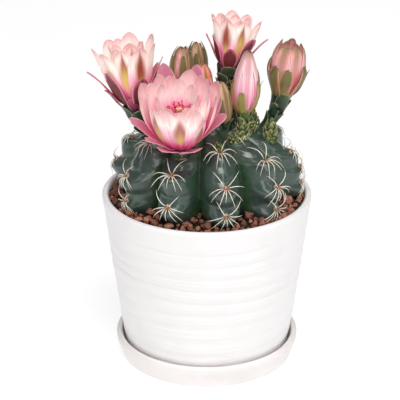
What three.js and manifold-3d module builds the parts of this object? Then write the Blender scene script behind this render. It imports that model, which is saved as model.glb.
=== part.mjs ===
// Potted round cactus in flower: a saucer, a glazed pot with throwing rings, potting soil under a layer of
// red lava gravel, a ten-ribbed round cactus with spine clusters, three open flowers and the buds round them.
// Millimetres, +Z up. The origin is the centre of the saucer's flat underside.
// Azimuths are in degrees: 0 faces -Y and 90 faces +X.
import * as THREE from 'three';
import { mergeVertices } from 'three/addons/utils/BufferGeometryUtils.js';
import Module from 'manifold-3d';

const wasm = await Module();
wasm.setup();

// ---------------------------------------------------------------- driving dimensions
const GAP = 0.3; // between pieces that rest against each other

const SAUCER = {
  footRadius: 38,
  heelRadius: 43.4,
  heelBevel: 1.8,
  rimRadius: 46.2,
  rimWall: 3.1,
  innerRadius: 41.9,
  floor: 3.5,
  height: 12.8,
};

const POT = {
  heelRadius: 40.8, // outside, at the saucer's floor
  taper: 0.1445, // radius gained per mm of height
  wall: 3.4,
  lipRadius: 1.4,
  rimRadius: 52.3,
  height: 88.9, // top of the lip
  footInner: 34,
  footOuter: 39,
  footHeight: 2.5,
  footDraft: 0.5,
  heelBevel: 1.8,
  floorThickness: 4.5,
  fillet: 3.5, // inside, between wall and floor
  drainRadius: 5,
};

const RINGS = { lowest: 18.1, pitch: 7.37, count: 9, depth: 0.45 };

const SOIL = { top: 84 };
const GRAVEL = { top: 88, lump: 0.7, innerRadius: 28, slack: 0.15, rows: [2.5, 6, 9.5] };

const BODY = {
  ribs: 10,
  firstRib: 11.5, // azimuth of rib 0, the one nearest the viewer
  radius: 46.6,
  equator: 100,
  crown: 25.5, // apex height above the equator
  crownPower: 2.35,
  shoulder: 45, // the lower half's superellipse, which the root cuts short
  shoulderPower: 2.6,
  neckHeight: 70,
  rootRadius: 8,
  rootHeight: 58,
  rootTip: 34,
  groove: 0.175, // groove depth as a share of the radius
  chin: 1.4, // height of the bump under each areole
  chinDrop: 3.5, // how far the bump lies under its areole
  chinSpread: 3.2,
  dimple: 2.6, // depth of the hollow at the apex
  dimpleSpread: 9,
};

// Heights of the areoles down each rib, from rib 0 round towards +X.
const AREOLE_HEIGHTS = [
  [121, 108.4, 94],
  [116.2, 103.5, 91.7],
  [112, 104.2, 95.5],
  [113, 99],
  [108, 94],
  [113, 99],
  [108, 94],
  [116.5, 103.8],
  [120, 105.9, 92.5],
  [113.1, 97.6],
];

const SPINES = { length: 10.5, radius: 0.55, lift: 34 };
// Spines fan out round their areole: a sweep is the angle from straight up the rib. Near the pot's lip none
// points down, and near the crown none points up at the buds.
const SWEEPS = {
  middle: [-150, -88, 0, 88, 150],
  low: [-104, -55, 0, 55, 104],
  high: [-142, -88, 88, 142, 180],
};
const LOW_AREOLE = 97;
const HIGH_AREOLE = 115;
const PAD = { radius: 2.1, height: 1.6, proud: 0.5 };

// Each flower: where its tube leaves the body, the receptacle at the tube's end, and the centre of its mouth.
const FLOWERS = {
  front: {
    areole: [-12.2, -26.4, 116],
    receptacle: [-12.6, -27, 124.2],
    mouth: [-13.8, -33, 152],
    tubeRadius: 3.6,
    neckRadius: 5.2,
    mouthRadius: 15.5,
    splayRadius: 23,
    splayHeight: 16,
    petals: 12,
  },
  left: {
    areole: [-26.5, 3.6, 117],
    receptacle: [-35.8, 0, 134.8],
    mouth: [-39.8, 3, 165.3],
    tubeRadius: 3.4,
    neckRadius: 5.4,
    mouthRadius: 14.8,
    splayRadius: 19,
    splayHeight: 19,
    petals: 12,
  },
  tall: {
    areole: [11.8, 7, 118],
    receptacle: [10.8, 8, 151.2],
    mouth: [14.5, 11, 175.9],
    tubeRadius: 3.8,
    neckRadius: 5.6,
    mouthRadius: 12,
    splayRadius: 15.5,
    splayHeight: 16,
    petals: 10,
  },
};

// Each bud: where its tube leaves the body, the bud's base and tip, and its greatest radius.
const BUDS = {
  right: {
    areole: [27.6, 13.4, 115],
    base: [37.2, 13, 136],
    tip: [41.7, 13, 162],
    tube: 3.2,
    radius: 8.6,
  },
  middle: {
    areole: [18.2, -4, 118],
    base: [17.9, -6, 134],
    tip: [19.8, -6, 164.8],
    tube: 2.8,
    radius: 6.5,
  },
  back_left: {
    areole: [-11.6, 11, 118],
    base: [-12.8, 12, 138],
    tip: [-12, 12, 160.6],
    tube: 2.6,
    radius: 5.3,
  },
  back_right: {
    areole: [-4.2, 18.6, 117],
    base: [-4.9, 20, 136],
    tip: [-5, 20, 160.4],
    tube: 2.6,
    radius: 4.9,
  },
  crown: {
    areole: [-1.2, 2.4, 117],
    base: [-1.6, 3, 134],
    tip: [-2, 3, 155],
    tube: 2.4,
    radius: 4.5,
  },
  inner: {
    areole: [8.2, -4.4, 118],
    base: [9, -5, 128.4],
    tip: [6.6, -5, 148.4],
    tube: 2.4,
    radius: 4.3,
  },
};

// Tight green buds that have only just broken from their areoles: centre of the base, height, radius.
const GREEN_BUDS = [
  { base: [18.6, -14.2, 120], height: 14, radius: 2.5 },
  { base: [31, -5.4, 117], height: 13, radius: 3 },
  { base: [4.9, -23.5, 119], height: 9, radius: 2.4 },
  { base: [13.2, -16.9, 121], height: 10, radius: 2.1 },
];

const SIDES = { saucer: 36, pot: 36, gravel: 48, perRib: 6, tube: 8, stamens: 14, bud: 10, pad: 6, spine: 3 };

// ---------------------------------------------------------------- finishes
const paint = (color, roughness) => new THREE.MeshStandardMaterial({ color, roughness, metalness: 0 });

const FINISH = {
  saucer: paint(0xf1ece2, 0.25),
  pot: paint(0xeeeff2, 0.18),
  soil: paint(0x2d221b, 0.95),
  gravel: paint(0x8a4632, 0.9),
  body: paint(0x35503f, 0.5),
  spine: paint(0xd9c7a4, 0.6),
  tube: paint(0x46533a, 0.6),
  sepal: paint(0xe48fa6, 0.55),
  petal: paint(0xf3b9c1, 0.5),
  stamen: paint(0xd1456a, 0.6),
  pistil: paint(0xe9d48a, 0.6),
  bud: paint(0xb98f78, 0.55),
  green: paint(0x6f8446, 0.6),
};

// ---------------------------------------------------------------- helpers
const radians = THREE.MathUtils.degToRad;
const point = (list) => new THREE.Vector3(...list);
const onAzimuth = (radius, azimuth, z) =>
  new THREE.Vector3(radius * Math.sin(azimuth), -radius * Math.cos(azimuth), z);

function moveVertices(geometry, move) {
  const position = geometry.getAttribute('position');
  const vertex = new THREE.Vector3();
  for (let i = 0; i < position.count; i += 1) {
    vertex.fromBufferAttribute(position, i);
    move(vertex);
    position.setXYZ(i, vertex.x, vertex.y, vertex.z);
  }
  return geometry;
}

// Turns a [radius, height] outline about Z. The outline runs from the underside out, up and back in.
function turned(outline, sides) {
  const points = outline.map(([radius, height]) => new THREE.Vector2(Math.max(radius, 0), height));
  return new THREE.LatheGeometry(points, sides).rotateX(Math.PI / 2);
}

function toSolid(geometry) {
  const bare = geometry.clone();
  bare.deleteAttribute('normal');
  bare.deleteAttribute('uv');
  const merged = mergeVertices(bare, 1e-4);
  const corners = merged.index.array;
  const triVerts = [];
  for (let i = 0; i < corners.length; i += 3) {
    const [a, b, c] = [corners[i], corners[i + 1], corners[i + 2]];
    if (a !== b && b !== c && c !== a) triVerts.push(a, b, c);
  }
  return new wasm.Manifold(
    new wasm.Mesh({
      numProp: 3,
      vertProperties: new Float32Array(merged.attributes.position.array),
      triVerts: new Uint32Array(triVerts),
    }),
  );
}

function toGeometry(solid) {
  const mesh = solid.getMesh();
  const geometry = new THREE.BufferGeometry();
  geometry.setAttribute('position', new THREE.BufferAttribute(new Float32Array(mesh.vertProperties), 3));
  geometry.setIndex(new THREE.BufferAttribute(new Uint32Array(mesh.triVerts), 1));
  geometry.computeVertexNormals();
  return geometry;
}

const plant = new THREE.Group();

function addPiece(name, geometry, material, parent = plant) {
  const mesh = new THREE.Mesh(geometry, material);
  mesh.name = name;
  parent.add(mesh);
  return mesh;
}

// ---------------------------------------------------------------- saucer and pot
// The half round of a lip, from its outside over the top to its inside.
const lipOutline = (centre, height, radius) =>
  [0, 45, 90, 135, 180].map((degrees) => {
    const turn = radians(degrees);
    return [centre + radius * Math.cos(turn), height + radius * Math.sin(turn)];
  });

function saucerGeometry() {
  const lip = SAUCER.rimWall / 2;
  const lipCentre = SAUCER.rimRadius - lip;
  const outline = [
    [0, 0],
    [SAUCER.footRadius, 0],
    [SAUCER.heelRadius - SAUCER.heelBevel, SAUCER.heelBevel / 3],
    [SAUCER.heelRadius, SAUCER.heelBevel],
    [SAUCER.rimRadius, SAUCER.height - SAUCER.rimWall],
  ];
  outline.push(...lipOutline(lipCentre, SAUCER.height - lip, lip));
  outline.push([SAUCER.innerRadius, SAUCER.floor], [0, SAUCER.floor]);
  return turned(outline, SIDES.saucer);
}

const potOuter = (z) => POT.heelRadius + POT.taper * (z - SAUCER.floor);
const potInner = (z) => potOuter(z) - POT.wall;
const potFloor = SAUCER.floor + POT.footHeight + POT.floorThickness;

function potGeometry() {
  const underside = SAUCER.floor + POT.footHeight;
  const outline = [
    [POT.drainRadius, underside],
    [POT.footInner - POT.footDraft, underside],
    [POT.footInner, SAUCER.floor],
    [POT.footOuter, SAUCER.floor],
    [potOuter(SAUCER.floor + POT.heelBevel), SAUCER.floor + POT.heelBevel],
  ];
  for (let ring = 0; ring < RINGS.count; ring += 1) {
    const hollow = RINGS.lowest + ring * RINGS.pitch;
    outline.push([potOuter(hollow - RINGS.pitch / 2) + RINGS.depth / 2, hollow - RINGS.pitch / 2]);
    outline.push([potOuter(hollow) - RINGS.depth / 2, hollow]);
  }
  const lipHeight = POT.height - POT.lipRadius;
  const lipCentre = POT.rimRadius - POT.lipRadius;
  outline.push(...lipOutline(lipCentre, lipHeight, POT.lipRadius));
  const filletTop = potFloor + POT.fillet;
  outline.push([potInner(filletTop), filletTop], [potInner(potFloor) - POT.fillet, potFloor]);
  outline.push([POT.drainRadius, potFloor], [POT.drainRadius, underside]);
  return turned(outline, SIDES.pot);
}

addPiece('saucer', saucerGeometry(), FINISH.saucer);
addPiece('pot', potGeometry(), FINISH.pot);

// ---------------------------------------------------------------- cactus body
const ribAzimuth = (rib) => radians(BODY.firstRib + (360 / BODY.ribs) * rib);

// Share of a rib's full height at an azimuth: 1 on the crest, 0 in the groove.
const ribCrest = (azimuth) => Math.abs(Math.cos((azimuth - ribAzimuth(0)) * (BODY.ribs / 2))) ** 0.8;

function nearestRib(azimuth) {
  const turns = (azimuth - ribAzimuth(0)) / (2 * Math.PI);
  return Math.round((turns - Math.floor(turns)) * BODY.ribs) % BODY.ribs;
}

// Radius of the rib crests at a height, from the neck to the apex.
function crestRadius(z, grow = 0) {
  const above = z >= BODY.equator;
  const reach = (above ? BODY.crown : BODY.shoulder) + grow;
  const power = above ? BODY.crownPower : BODY.shoulderPower;
  const share = Math.min(Math.abs(z - BODY.equator) / reach, 1);
  return (BODY.radius + grow) * (1 - share ** power) ** (1 / power);
}

const CROWN_RADIUS = 20; // inside this the ribs run together without chins
const RIB_ROWS = [BODY.neckHeight, 78, 85, 90, 94, 98, 102, 106, 110, 114, 118, 121.5, 123.7];

// The whole plant body from root tip to apex, with every surface moved out by grow.
function bodyGeometry(grow = 0) {
  const outline = [
    [0, BODY.rootTip - grow],
    [BODY.rootRadius * 0.5 + grow, BODY.rootTip + 6],
    [BODY.rootRadius + grow, BODY.rootHeight],
    [crestRadius(BODY.neckHeight) * 0.7 + grow, BODY.neckHeight - 4 - grow],
  ];
  for (const z of RIB_ROWS) outline.push([crestRadius(z, grow), z]);
  const apex = BODY.equator + BODY.crown + grow;
  outline.push([13, apex - 0.4], [6, apex], [0, apex]);
  return moveVertices(turned(outline, BODY.ribs * SIDES.perRib), (v) => {
    const radius = Math.hypot(v.x, v.y);
    const azimuth = Math.atan2(v.x, -v.y);
    const crest = ribCrest(azimuth);
    let scale = 1 - BODY.groove * (1 - crest);
    if (radius > CROWN_RADIUS) {
      for (const height of AREOLE_HEIGHTS[nearestRib(azimuth)]) {
        const drop = (v.z - height + BODY.chinDrop) / BODY.chinSpread;
        scale += (BODY.chin / radius) * crest * Math.exp(-(drop ** 2));
      }
    }
    v.x *= scale;
    v.y *= scale;
    if (v.z > BODY.equator) v.z -= BODY.dimple * Math.exp(-((radius / BODY.dimpleSpread) ** 2));
  });
}

const clearance = toSolid(bodyGeometry(GAP));
const cutByBody = (geometry) => toGeometry(toSolid(geometry).subtract(clearance));

addPiece('cactus_body', bodyGeometry(), FINISH.body);

// ---------------------------------------------------------------- soil and gravel
function soilGeometry() {
  const outline = [
    [0, potFloor + GAP],
    [potInner(potFloor) - POT.fillet - GAP, potFloor + GAP],
    [potInner(potFloor + POT.fillet) - GAP, potFloor + POT.fillet + GAP],
    [potInner(SOIL.top) - GAP, SOIL.top],
    [0, SOIL.top],
  ];
  return cutByBody(turned(outline, SIDES.pot));
}

function gravelGeometry() {
  const bottom = SOIL.top + GAP;
  const edge = (z) => potInner(z) - GAP - GRAVEL.slack;
  const outline = [
    [GRAVEL.innerRadius, bottom],
    [edge(bottom), bottom],
    [edge(GRAVEL.top), GRAVEL.top - GRAVEL.lump],
  ];
  for (const row of GRAVEL.rows) outline.push([edge(GRAVEL.top) - row, GRAVEL.top]);
  outline.push([GRAVEL.innerRadius, GRAVEL.top], [GRAVEL.innerRadius, bottom]);
  const lumpy = moveVertices(turned(outline, SIDES.gravel), (v) => {
    if (v.z >= GRAVEL.top) v.z += GRAVEL.lump * Math.sin(v.x * 1.7) * Math.cos(v.y * 1.9);
  });
  return cutByBody(lumpy);
}

addPiece('potting_soil', soilGeometry(), FINISH.soil);
addPiece('lava_gravel', gravelGeometry(), FINISH.gravel);

// ---------------------------------------------------------------- areoles and spines
// A frame on a rib's crest: X across the rib, Y up along it, Z straight out.
function crestFrame(rib, z) {
  const azimuth = ribAzimuth(rib);
  const here = onAzimuth(crestRadius(z), azimuth, z);
  const along = onAzimuth(crestRadius(z + 0.5), azimuth, z + 0.5).sub(here).normalize();
  const across = new THREE.Vector3(Math.cos(azimuth), Math.sin(azimuth), 0);
  const out = new THREE.Vector3().crossVectors(across, along).normalize();
  return new THREE.Matrix4().makeBasis(across, along, out).setPosition(here);
}

// One spine, its foot at the origin, leaning from +Z towards the direction at sweep degrees from +Y.
function spineGeometry(sweep) {
  return new THREE.ConeGeometry(SPINES.radius, SPINES.length, SIDES.spine)
    .translate(0, SPINES.length / 2, 0)
    .rotateX(radians(SPINES.lift))
    .rotateZ(-radians(sweep));
}

function sweepsAt(height) {
  if (height < LOW_AREOLE) return SWEEPS.low;
  return height > HIGH_AREOLE ? SWEEPS.high : SWEEPS.middle;
}

function spineClusterGeometry(rib, height) {
  const pad = new THREE.SphereGeometry(PAD.radius, SIDES.pad, 3).scale(1, 1, PAD.height / PAD.radius);
  let cluster = toSolid(pad);
  for (const sweep of sweepsAt(height)) cluster = cluster.add(toSolid(spineGeometry(sweep)));
  const frame = crestFrame(rib, height).multiply(new THREE.Matrix4().makeTranslation(0, 0, PAD.proud));
  return cutByBody(toGeometry(cluster).applyMatrix4(frame));
}

const AREOLE_ORDER = ['upper', 'middle', 'lower'];
AREOLE_HEIGHTS.forEach((heights, rib) => {
  heights.forEach((height, step) => {
    const name = `rib_${rib}_${AREOLE_ORDER[step]}_spines`;
    addPiece(name, spineClusterGeometry(rib, height), FINISH.spine);
  });
});

// ---------------------------------------------------------------- tubes that carry flowers and buds
const TUBE_BEND = 0.45; // share of the tube over which it turns into its end's direction
const TUBE_ROWS = [0.3, 0.6, 0.85];
const TUBE_FLARE = 0.6; // a bud's tube is this much wider at its end
const UP = new THREE.Vector3(0, 0, 1);

// A tube from its areole to its end, which faces along the axis of what it carries.
function tubeGeometry(areole, end, axis, footRadius, endRadius) {
  const span = end.distanceTo(areole);
  const bend = end.clone().addScaledVector(axis, -TUBE_BEND * span);
  const path = new THREE.QuadraticBezierCurve3(areole, bend, end);
  const outline = [[0, 0], [footRadius, 0]];
  for (const share of TUBE_ROWS) outline.push([footRadius, share]);
  outline.push([endRadius, 1], [0, 1]);
  return moveVertices(turned(outline, SIDES.tube), (v) => {
    const turn = new THREE.Quaternion().setFromUnitVectors(UP, path.getTangent(v.z));
    const centre = path.getPoint(v.z);
    v.setZ(0).applyQuaternion(turn).add(centre);
  });
}

// A group whose +Z runs along axis, one gap above the end of the tube.
function seatOn(end, axis) {
  const seat = new THREE.Group();
  seat.position.copy(end).addScaledVector(axis, GAP);
  seat.quaternion.setFromUnitVectors(UP, axis);
  plant.add(seat);
  return seat;
}

// ---------------------------------------------------------------- open flowers
const PETAL_WALL = 0.9;
const PETAL_NOTCH = { inner: 4.5, outer: 3.5 };
// Outlines of the whorls and of the stamens above the foot, as shares of their greatest radius and height.
const INNER_OUTLINE = [[0.55, 0.3], [0.86, 0.62], [1, 1]];
const OUTER_OUTLINE = [[0.5, 0.42], [0.8, 0.8], [1, 1]];
const STAMENS = { rise: 0.62, waist: 0.3, waistRadius: 0.36, rimRadius: 0.46, wellRadius: 0.34, well: 1.5 };
const PISTIL = { radius: 0.9, stigmaRadius: 2.3, stigmaHeight: 2.8 };

// A whorl of petals joined at the base. The wall's outer outline is given, and the rim is cut into tips. With
// a floor it is a closed cup, and without one a ring that stands round the cup.
function whorlGeometry(outer, tips, notch, floor) {
  const rim = outer[outer.length - 1];
  const [footRadius, footHeight] = outer[0];
  const inner = outer.slice(1).map(([radius, height]) => [radius - PETAL_WALL, height + PETAL_WALL / 3]);
  const outline = [...outer, ...inner.reverse()];
  if (floor) {
    const floorTop = footHeight + PETAL_WALL;
    outline.unshift([0, footHeight]);
    outline.push([footRadius - PETAL_WALL, floorTop], [0, floorTop]);
  } else {
    outline.push([footRadius - PETAL_WALL / 2, footHeight + GAP], outer[0]);
  }
  return moveVertices(turned(outline, tips * 2), (v) => {
    const azimuth = Math.atan2(v.x, -v.y);
    const between = 0.5 - 0.5 * Math.cos(azimuth * tips);
    v.z -= notch * between * Math.max(v.z / rim[1], 0) ** 4;
  });
}

function addFlower(name, flower) {
  const end = point(flower.receptacle);
  const mouth = point(flower.mouth);
  const height = mouth.distanceTo(end);
  const axis = mouth.clone().sub(end).normalize();
  const tube = tubeGeometry(point(flower.areole), end, axis, flower.tubeRadius, flower.neckRadius);
  addPiece(`${name}_flower_tube`, cutByBody(tube), FINISH.tube);

  const seat = seatOn(end, axis);
  const innerFoot = flower.neckRadius - STAMENS.well - 0.1;
  const inner = [[innerFoot, 0]];
  for (const [radius, rise] of INNER_OUTLINE) inner.push([flower.mouthRadius * radius, height * rise]);
  const outer = [[flower.neckRadius, GAP]];
  for (const [radius, rise] of OUTER_OUTLINE) {
    outer.push([flower.splayRadius * radius, flower.splayHeight * rise]);
  }
  const sepals = whorlGeometry(outer, flower.petals, PETAL_NOTCH.outer, false);
  const petals = whorlGeometry(inner, flower.petals, PETAL_NOTCH.inner, true);
  addPiece(`${name}_flower_outer_petals`, sepals, FINISH.sepal, seat);
  addPiece(`${name}_flower_inner_petals`, petals, FINISH.petal, seat);

  const foot = PETAL_WALL + GAP;
  const top = height * STAMENS.rise;
  const waist = height * STAMENS.waist;
  const brush = [
    [STAMENS.well, foot],
    [innerFoot - STAMENS.well, foot],
    [flower.mouthRadius * STAMENS.waistRadius, waist],
    [flower.mouthRadius * STAMENS.rimRadius, top],
    [flower.mouthRadius * STAMENS.wellRadius, top + PETAL_WALL],
    [STAMENS.well + GAP, waist],
    [STAMENS.well, foot],
  ];
  addPiece(`${name}_flower_stamens`, turned(brush, SIDES.stamens), FINISH.stamen, seat);
  const style = [
    [0, foot],
    [PISTIL.radius, foot],
    [PISTIL.radius, top + PETAL_WALL],
    [PISTIL.stigmaRadius, top + PISTIL.stigmaHeight],
    [0, top + PISTIL.stigmaHeight + PETAL_WALL],
  ];
  addPiece(`${name}_flower_pistil`, turned(style, SIDES.tube), FINISH.pistil, seat);
}

for (const [name, flower] of Object.entries(FLOWERS)) addFlower(name, flower);

// ---------------------------------------------------------------- buds
// Outlines above the foot, as shares of the greatest radius and of the height.
const BUD_OUTLINE = [[0.86, 0.25], [1, 0.48], [0.84, 0.72], [0.45, 0.92]];
const GREEN_BUD_OUTLINE = [[0.9, 0], [1, 0.6], [0.7, 0.85], [0, 1]];

function addBud(name, bud) {
  const base = point(bud.base);
  const tip = point(bud.tip);
  const height = tip.distanceTo(base) - GAP;
  const axis = tip.clone().sub(base).normalize();
  const tube = tubeGeometry(point(bud.areole), base, axis, bud.tube, bud.tube + TUBE_FLARE);
  addPiece(`${name}_bud_tube`, cutByBody(tube), FINISH.tube);
  const outline = [[0, 0], [bud.tube + TUBE_FLARE, 0]];
  for (const [radius, rise] of BUD_OUTLINE) outline.push([bud.radius * radius, height * rise]);
  outline.push([0, height]);
  addPiece(`${name}_bud`, turned(outline, SIDES.bud), FINISH.bud, seatOn(base, axis));
}

for (const [name, bud] of Object.entries(BUDS)) addBud(name, bud);

GREEN_BUDS.forEach((bud, index) => {
  const outline = [[0, 0]];
  for (const [radius, rise] of GREEN_BUD_OUTLINE) outline.push([bud.radius * radius, bud.height * rise]);
  const geometry = turned(outline, SIDES.tube).translate(...bud.base);
  addPiece(`green_bud_${index}`, cutByBody(geometry), FINISH.green);
});

export default plant;
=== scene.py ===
"""Potted round cactus in flower: its fine surface, finishes and studio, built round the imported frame.

Sizes are in millimetres in the part's own frame, +Z up, with the origin at the centre of the saucer's flat
underside. They become metres when a piece is made. Azimuths are in degrees: 0 faces -Y, where the camera
stands, and 90 faces +X.
"""
import logging
import math
from collections.abc import Iterable, Sequence
from dataclasses import dataclass, field, replace
from enum import Enum
from functools import cache

import bpy
import numpy as np
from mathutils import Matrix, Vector


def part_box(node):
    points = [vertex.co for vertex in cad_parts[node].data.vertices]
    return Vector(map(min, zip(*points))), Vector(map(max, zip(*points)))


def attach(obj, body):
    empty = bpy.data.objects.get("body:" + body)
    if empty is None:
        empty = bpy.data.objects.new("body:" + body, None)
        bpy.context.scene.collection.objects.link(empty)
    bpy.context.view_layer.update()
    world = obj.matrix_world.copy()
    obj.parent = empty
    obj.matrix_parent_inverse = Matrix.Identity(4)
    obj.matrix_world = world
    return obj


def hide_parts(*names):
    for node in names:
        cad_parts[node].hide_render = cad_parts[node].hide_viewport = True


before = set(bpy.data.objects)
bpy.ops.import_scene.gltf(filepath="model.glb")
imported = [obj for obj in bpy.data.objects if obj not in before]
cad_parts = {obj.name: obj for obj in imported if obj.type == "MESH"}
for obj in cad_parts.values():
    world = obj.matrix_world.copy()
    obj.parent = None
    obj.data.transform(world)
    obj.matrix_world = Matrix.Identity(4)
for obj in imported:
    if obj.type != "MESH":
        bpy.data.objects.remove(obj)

LOG = logging.getLogger("potted_round_cactus")
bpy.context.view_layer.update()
PART = "root"  # the one body, which every piece rides on
MM = 0.001
FULL_TURN = 2 * math.pi
GOLDEN_TURN = 137.5  # degrees from one scale to the next round a stem
HANDLE = 0.38  # how far a petal's curve is pulled at its ends, as a share of its length
SEED = 20  # where all chance starts
GAP = 0.3  # between the soil and what holds it

Array = np.ndarray
Draw = np.random.Generator
Pair = tuple[float, float]
Point = tuple[float, float, float]
Rgba = tuple[float, float, float, float]


# -------- colours
def tint(red: int, green: int, blue: int) -> Rgba:
    """A colour for a shader.

    Args:
        red: how red it looks on a screen, 0 to 255.
        green: how green.
        blue: how blue.

    Returns:
        The colour in linear light, opaque.
    """
    knee, slope, offset, power = 0.04045, 12.92, 0.055, 2.4  # of a screen's curve
    shares = [value / 255 for value in (red, green, blue)]
    light = [s / slope if s <= knee else ((s + offset) / (1 + offset)) ** power for s in shares]
    return (*light, 1.0)


# -------- meshes
class Field(Enum):
    """What each point of a mesh tells its finish."""

    ALONG = "along"  # 0 at the foot of a petal, scale or spine, 1 at its tip
    ACROSS = "across"  # -1 to 1 over a petal's width
    BACK = "back"  # 0 on a petal's inner face, 1 on its back
    SEED = "seed"  # one random share for each petal, stone or spine
    CREST = "crest"  # 0 in a groove of the body, 1 on a rib's crest


class Ends(Enum):
    """How a run of rings ends."""

    CAPPED = "capped"
    JOINED = "joined"


Fields = dict[Field, Array | float]


def six_volumes(points: Array, faces: Iterable[Sequence[int]]) -> float:
    """Six times the volume inside a closed surface, negative where its faces point in."""
    rings = (points[np.asarray(corners)] for corners in faces)
    return float(sum((np.cross(ring[1:-1], ring[2:]) @ ring[0]).sum() for ring in rings))


@dataclass
class Shell:
    """A piece's surface, gathered patch by patch before it becomes a mesh."""

    name: str
    points: list[Array] = field(default_factory=list)
    faces: list[list[int]] = field(default_factory=list)
    fields: dict[Field, list[Array]] = field(default_factory=dict)
    count: int = 0

    def add(self, points: Array, faces: list[list[int]], fields: Fields) -> None:
        """Adds a closed patch.

        Args:
            points: its points, (points, 3).
            faces: the corners of each face, as numbers of the patch's own points.
            fields: what the points tell the finish, each one value or one for each point.
        """
        for kind, values in fields.items():
            spread = np.broadcast_to(np.asarray(values, dtype=float).reshape(-1), (len(points),))
            self.fields.setdefault(kind, []).append(spread)
        self.points.append(points)
        self.faces.extend([[corner + self.count for corner in face] for face in faces])
        self.count += len(points)

    def loft(self, rings: Array, fields: Fields, ends: Ends = Ends.CAPPED) -> None:
        """Adds a closed surface that joins rings of points.

        Args:
            rings: the points, (rings, points of a ring, 3).
            fields: what the points tell the finish, each one value, one for each ring, or an array of
                (rings or 1, points of a ring).
            ends: whether the end rings are capped or joined to each other.
        """
        turns, sides, _ = rings.shape
        index = np.arange(turns * sides).reshape(turns, sides)
        beside = np.roll(index, -1, axis=1)
        above, above_beside = np.roll(index, -1, axis=0), np.roll(beside, -1, axis=0)
        quads = np.stack([index, beside, above_beside, above], axis=-1)
        if ends is Ends.CAPPED:
            quads = quads[:-1]
        quads = quads.reshape(-1, 4)
        flat = rings.reshape(-1, 3)
        a, b, c, d = (flat[quads[:, corner]] for corner in range(4))
        volume = float(np.einsum("ij,ij->", a, np.cross(b, c)) + np.einsum("ij,ij->", a, np.cross(c, d)))
        caps = [] if ends is Ends.JOINED else [index[0][::-1].tolist(), index[-1].tolist()]
        faces = quads.tolist() + caps
        if volume + six_volumes(flat, caps) < 0:
            faces = [face[::-1] for face in faces]
        told = {}
        for kind, values in fields.items():
            each = np.asarray(values, dtype=float)
            told[kind] = np.broadcast_to(each[:, None] if each.ndim == 1 else each, (turns, sides))
        self.add(flat, faces, told)

    def make(self, finish: "Finish", slot: str, *replaced: str) -> None:
        """Makes the piece, dresses it and lets it ride with the part.

        Args:
            finish: what the piece is covered with.
            slot: the record's material slot that the finish belongs to; not used.
            replaced: the CAD nodes that the piece stands for.
        """
        mesh = bpy.data.meshes.new(self.name)
        mesh.from_pydata((np.concatenate(self.points) * MM).tolist(), [], self.faces)
        for kind, values in self.fields.items():
            told = mesh.attributes.new(kind.value, "FLOAT", "POINT")
            told.data.foreach_set("value", np.concatenate(values).astype(np.float32))
        mesh.shade_smooth()
        mesh.materials.append(finish.material())
        piece = bpy.data.objects.new(self.name, mesh)
        bpy.context.collection.objects.link(piece)
        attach(piece, PART)
        if replaced:
            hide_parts(*replaced)
        LOG.info("%s: %d faces, stands for %s", self.name, len(self.faces), ", ".join(replaced) or "no node")


def unit(vectors: Array) -> Array:
    """Vectors of length 1 in the same directions."""
    return vectors / np.maximum(np.linalg.norm(vectors, axis=-1, keepdims=True), 1e-9)


def rising(value: Array | float, low: float, high: float) -> Array:
    """How far a value has come from low to high: 0 up to low, 1 from high on."""
    return np.clip((value - low) / (high - low), 0, 1)


def bezier(controls: Sequence[Sequence[float]], share: Array) -> Array:
    """Points of a Bezier curve.

    Args:
        controls: its control points, any number of them.
        share: shares of its run, 0 to 1.

    Returns:
        The points, one row for each share.
    """
    order = len(controls) - 1
    total = np.zeros((len(share), len(controls[0])))
    for index, control in enumerate(controls):
        weight = math.comb(order, index) * share**index * (1 - share) ** (order - index)
        total += weight[:, None] * np.asarray(control, dtype=float)
    return total


def around(radius: Array | float, azimuth: Array | float, height: Array | float) -> Array:
    """Points at a distance from the Z axis, on an azimuth in radians."""
    parts = np.broadcast_arrays(radius * np.sin(azimuth), -radius * np.cos(azimuth), height)
    return np.stack(parts, axis=-1)


def round_tube(path: Array, radii: Array, sides: int) -> Array:
    """Rings of a round tube.

    Args:
        path: the points of its centre line, (rings, 3).
        radii: its radius at each of them.
        sides: how many points a ring has.

    Returns:
        The rings, (rings, sides, 3).
    """
    heading = unit(np.gradient(path, axis=0))
    helper = np.eye(3)[np.argmin(np.abs(heading.mean(axis=0)))]
    side = unit(np.cross(heading, helper))
    rise = np.cross(side, heading)
    turn = np.arange(sides) / sides * FULL_TURN
    spokes = np.cos(turn)[None, :, None] * side[:, None] + np.sin(turn)[None, :, None] * rise[:, None]
    return path[:, None] + radii[:, None, None] * spokes


def dome(halves: Sequence[float], lowest: float, levels: int, sides: int) -> Array:
    """Rings of a squashed ball, from a latitude up to its top.

    Args:
        halves: half its width, length and height.
        lowest: the latitude of its first ring, as a share of half a turn.
        levels: how many rings it has.
        sides: how many points a ring has.

    Returns:
        The rings, (levels, sides, 3).
    """
    rise = np.linspace(lowest, 0.5, levels)[:, None] * math.pi
    turn = np.arange(sides) / sides * FULL_TURN
    parts = (np.cos(rise) * np.cos(turn), np.cos(rise) * np.sin(turn), np.sin(rise))
    return np.stack(np.broadcast_arrays(*parts), axis=-1) * np.asarray(halves)


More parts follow.
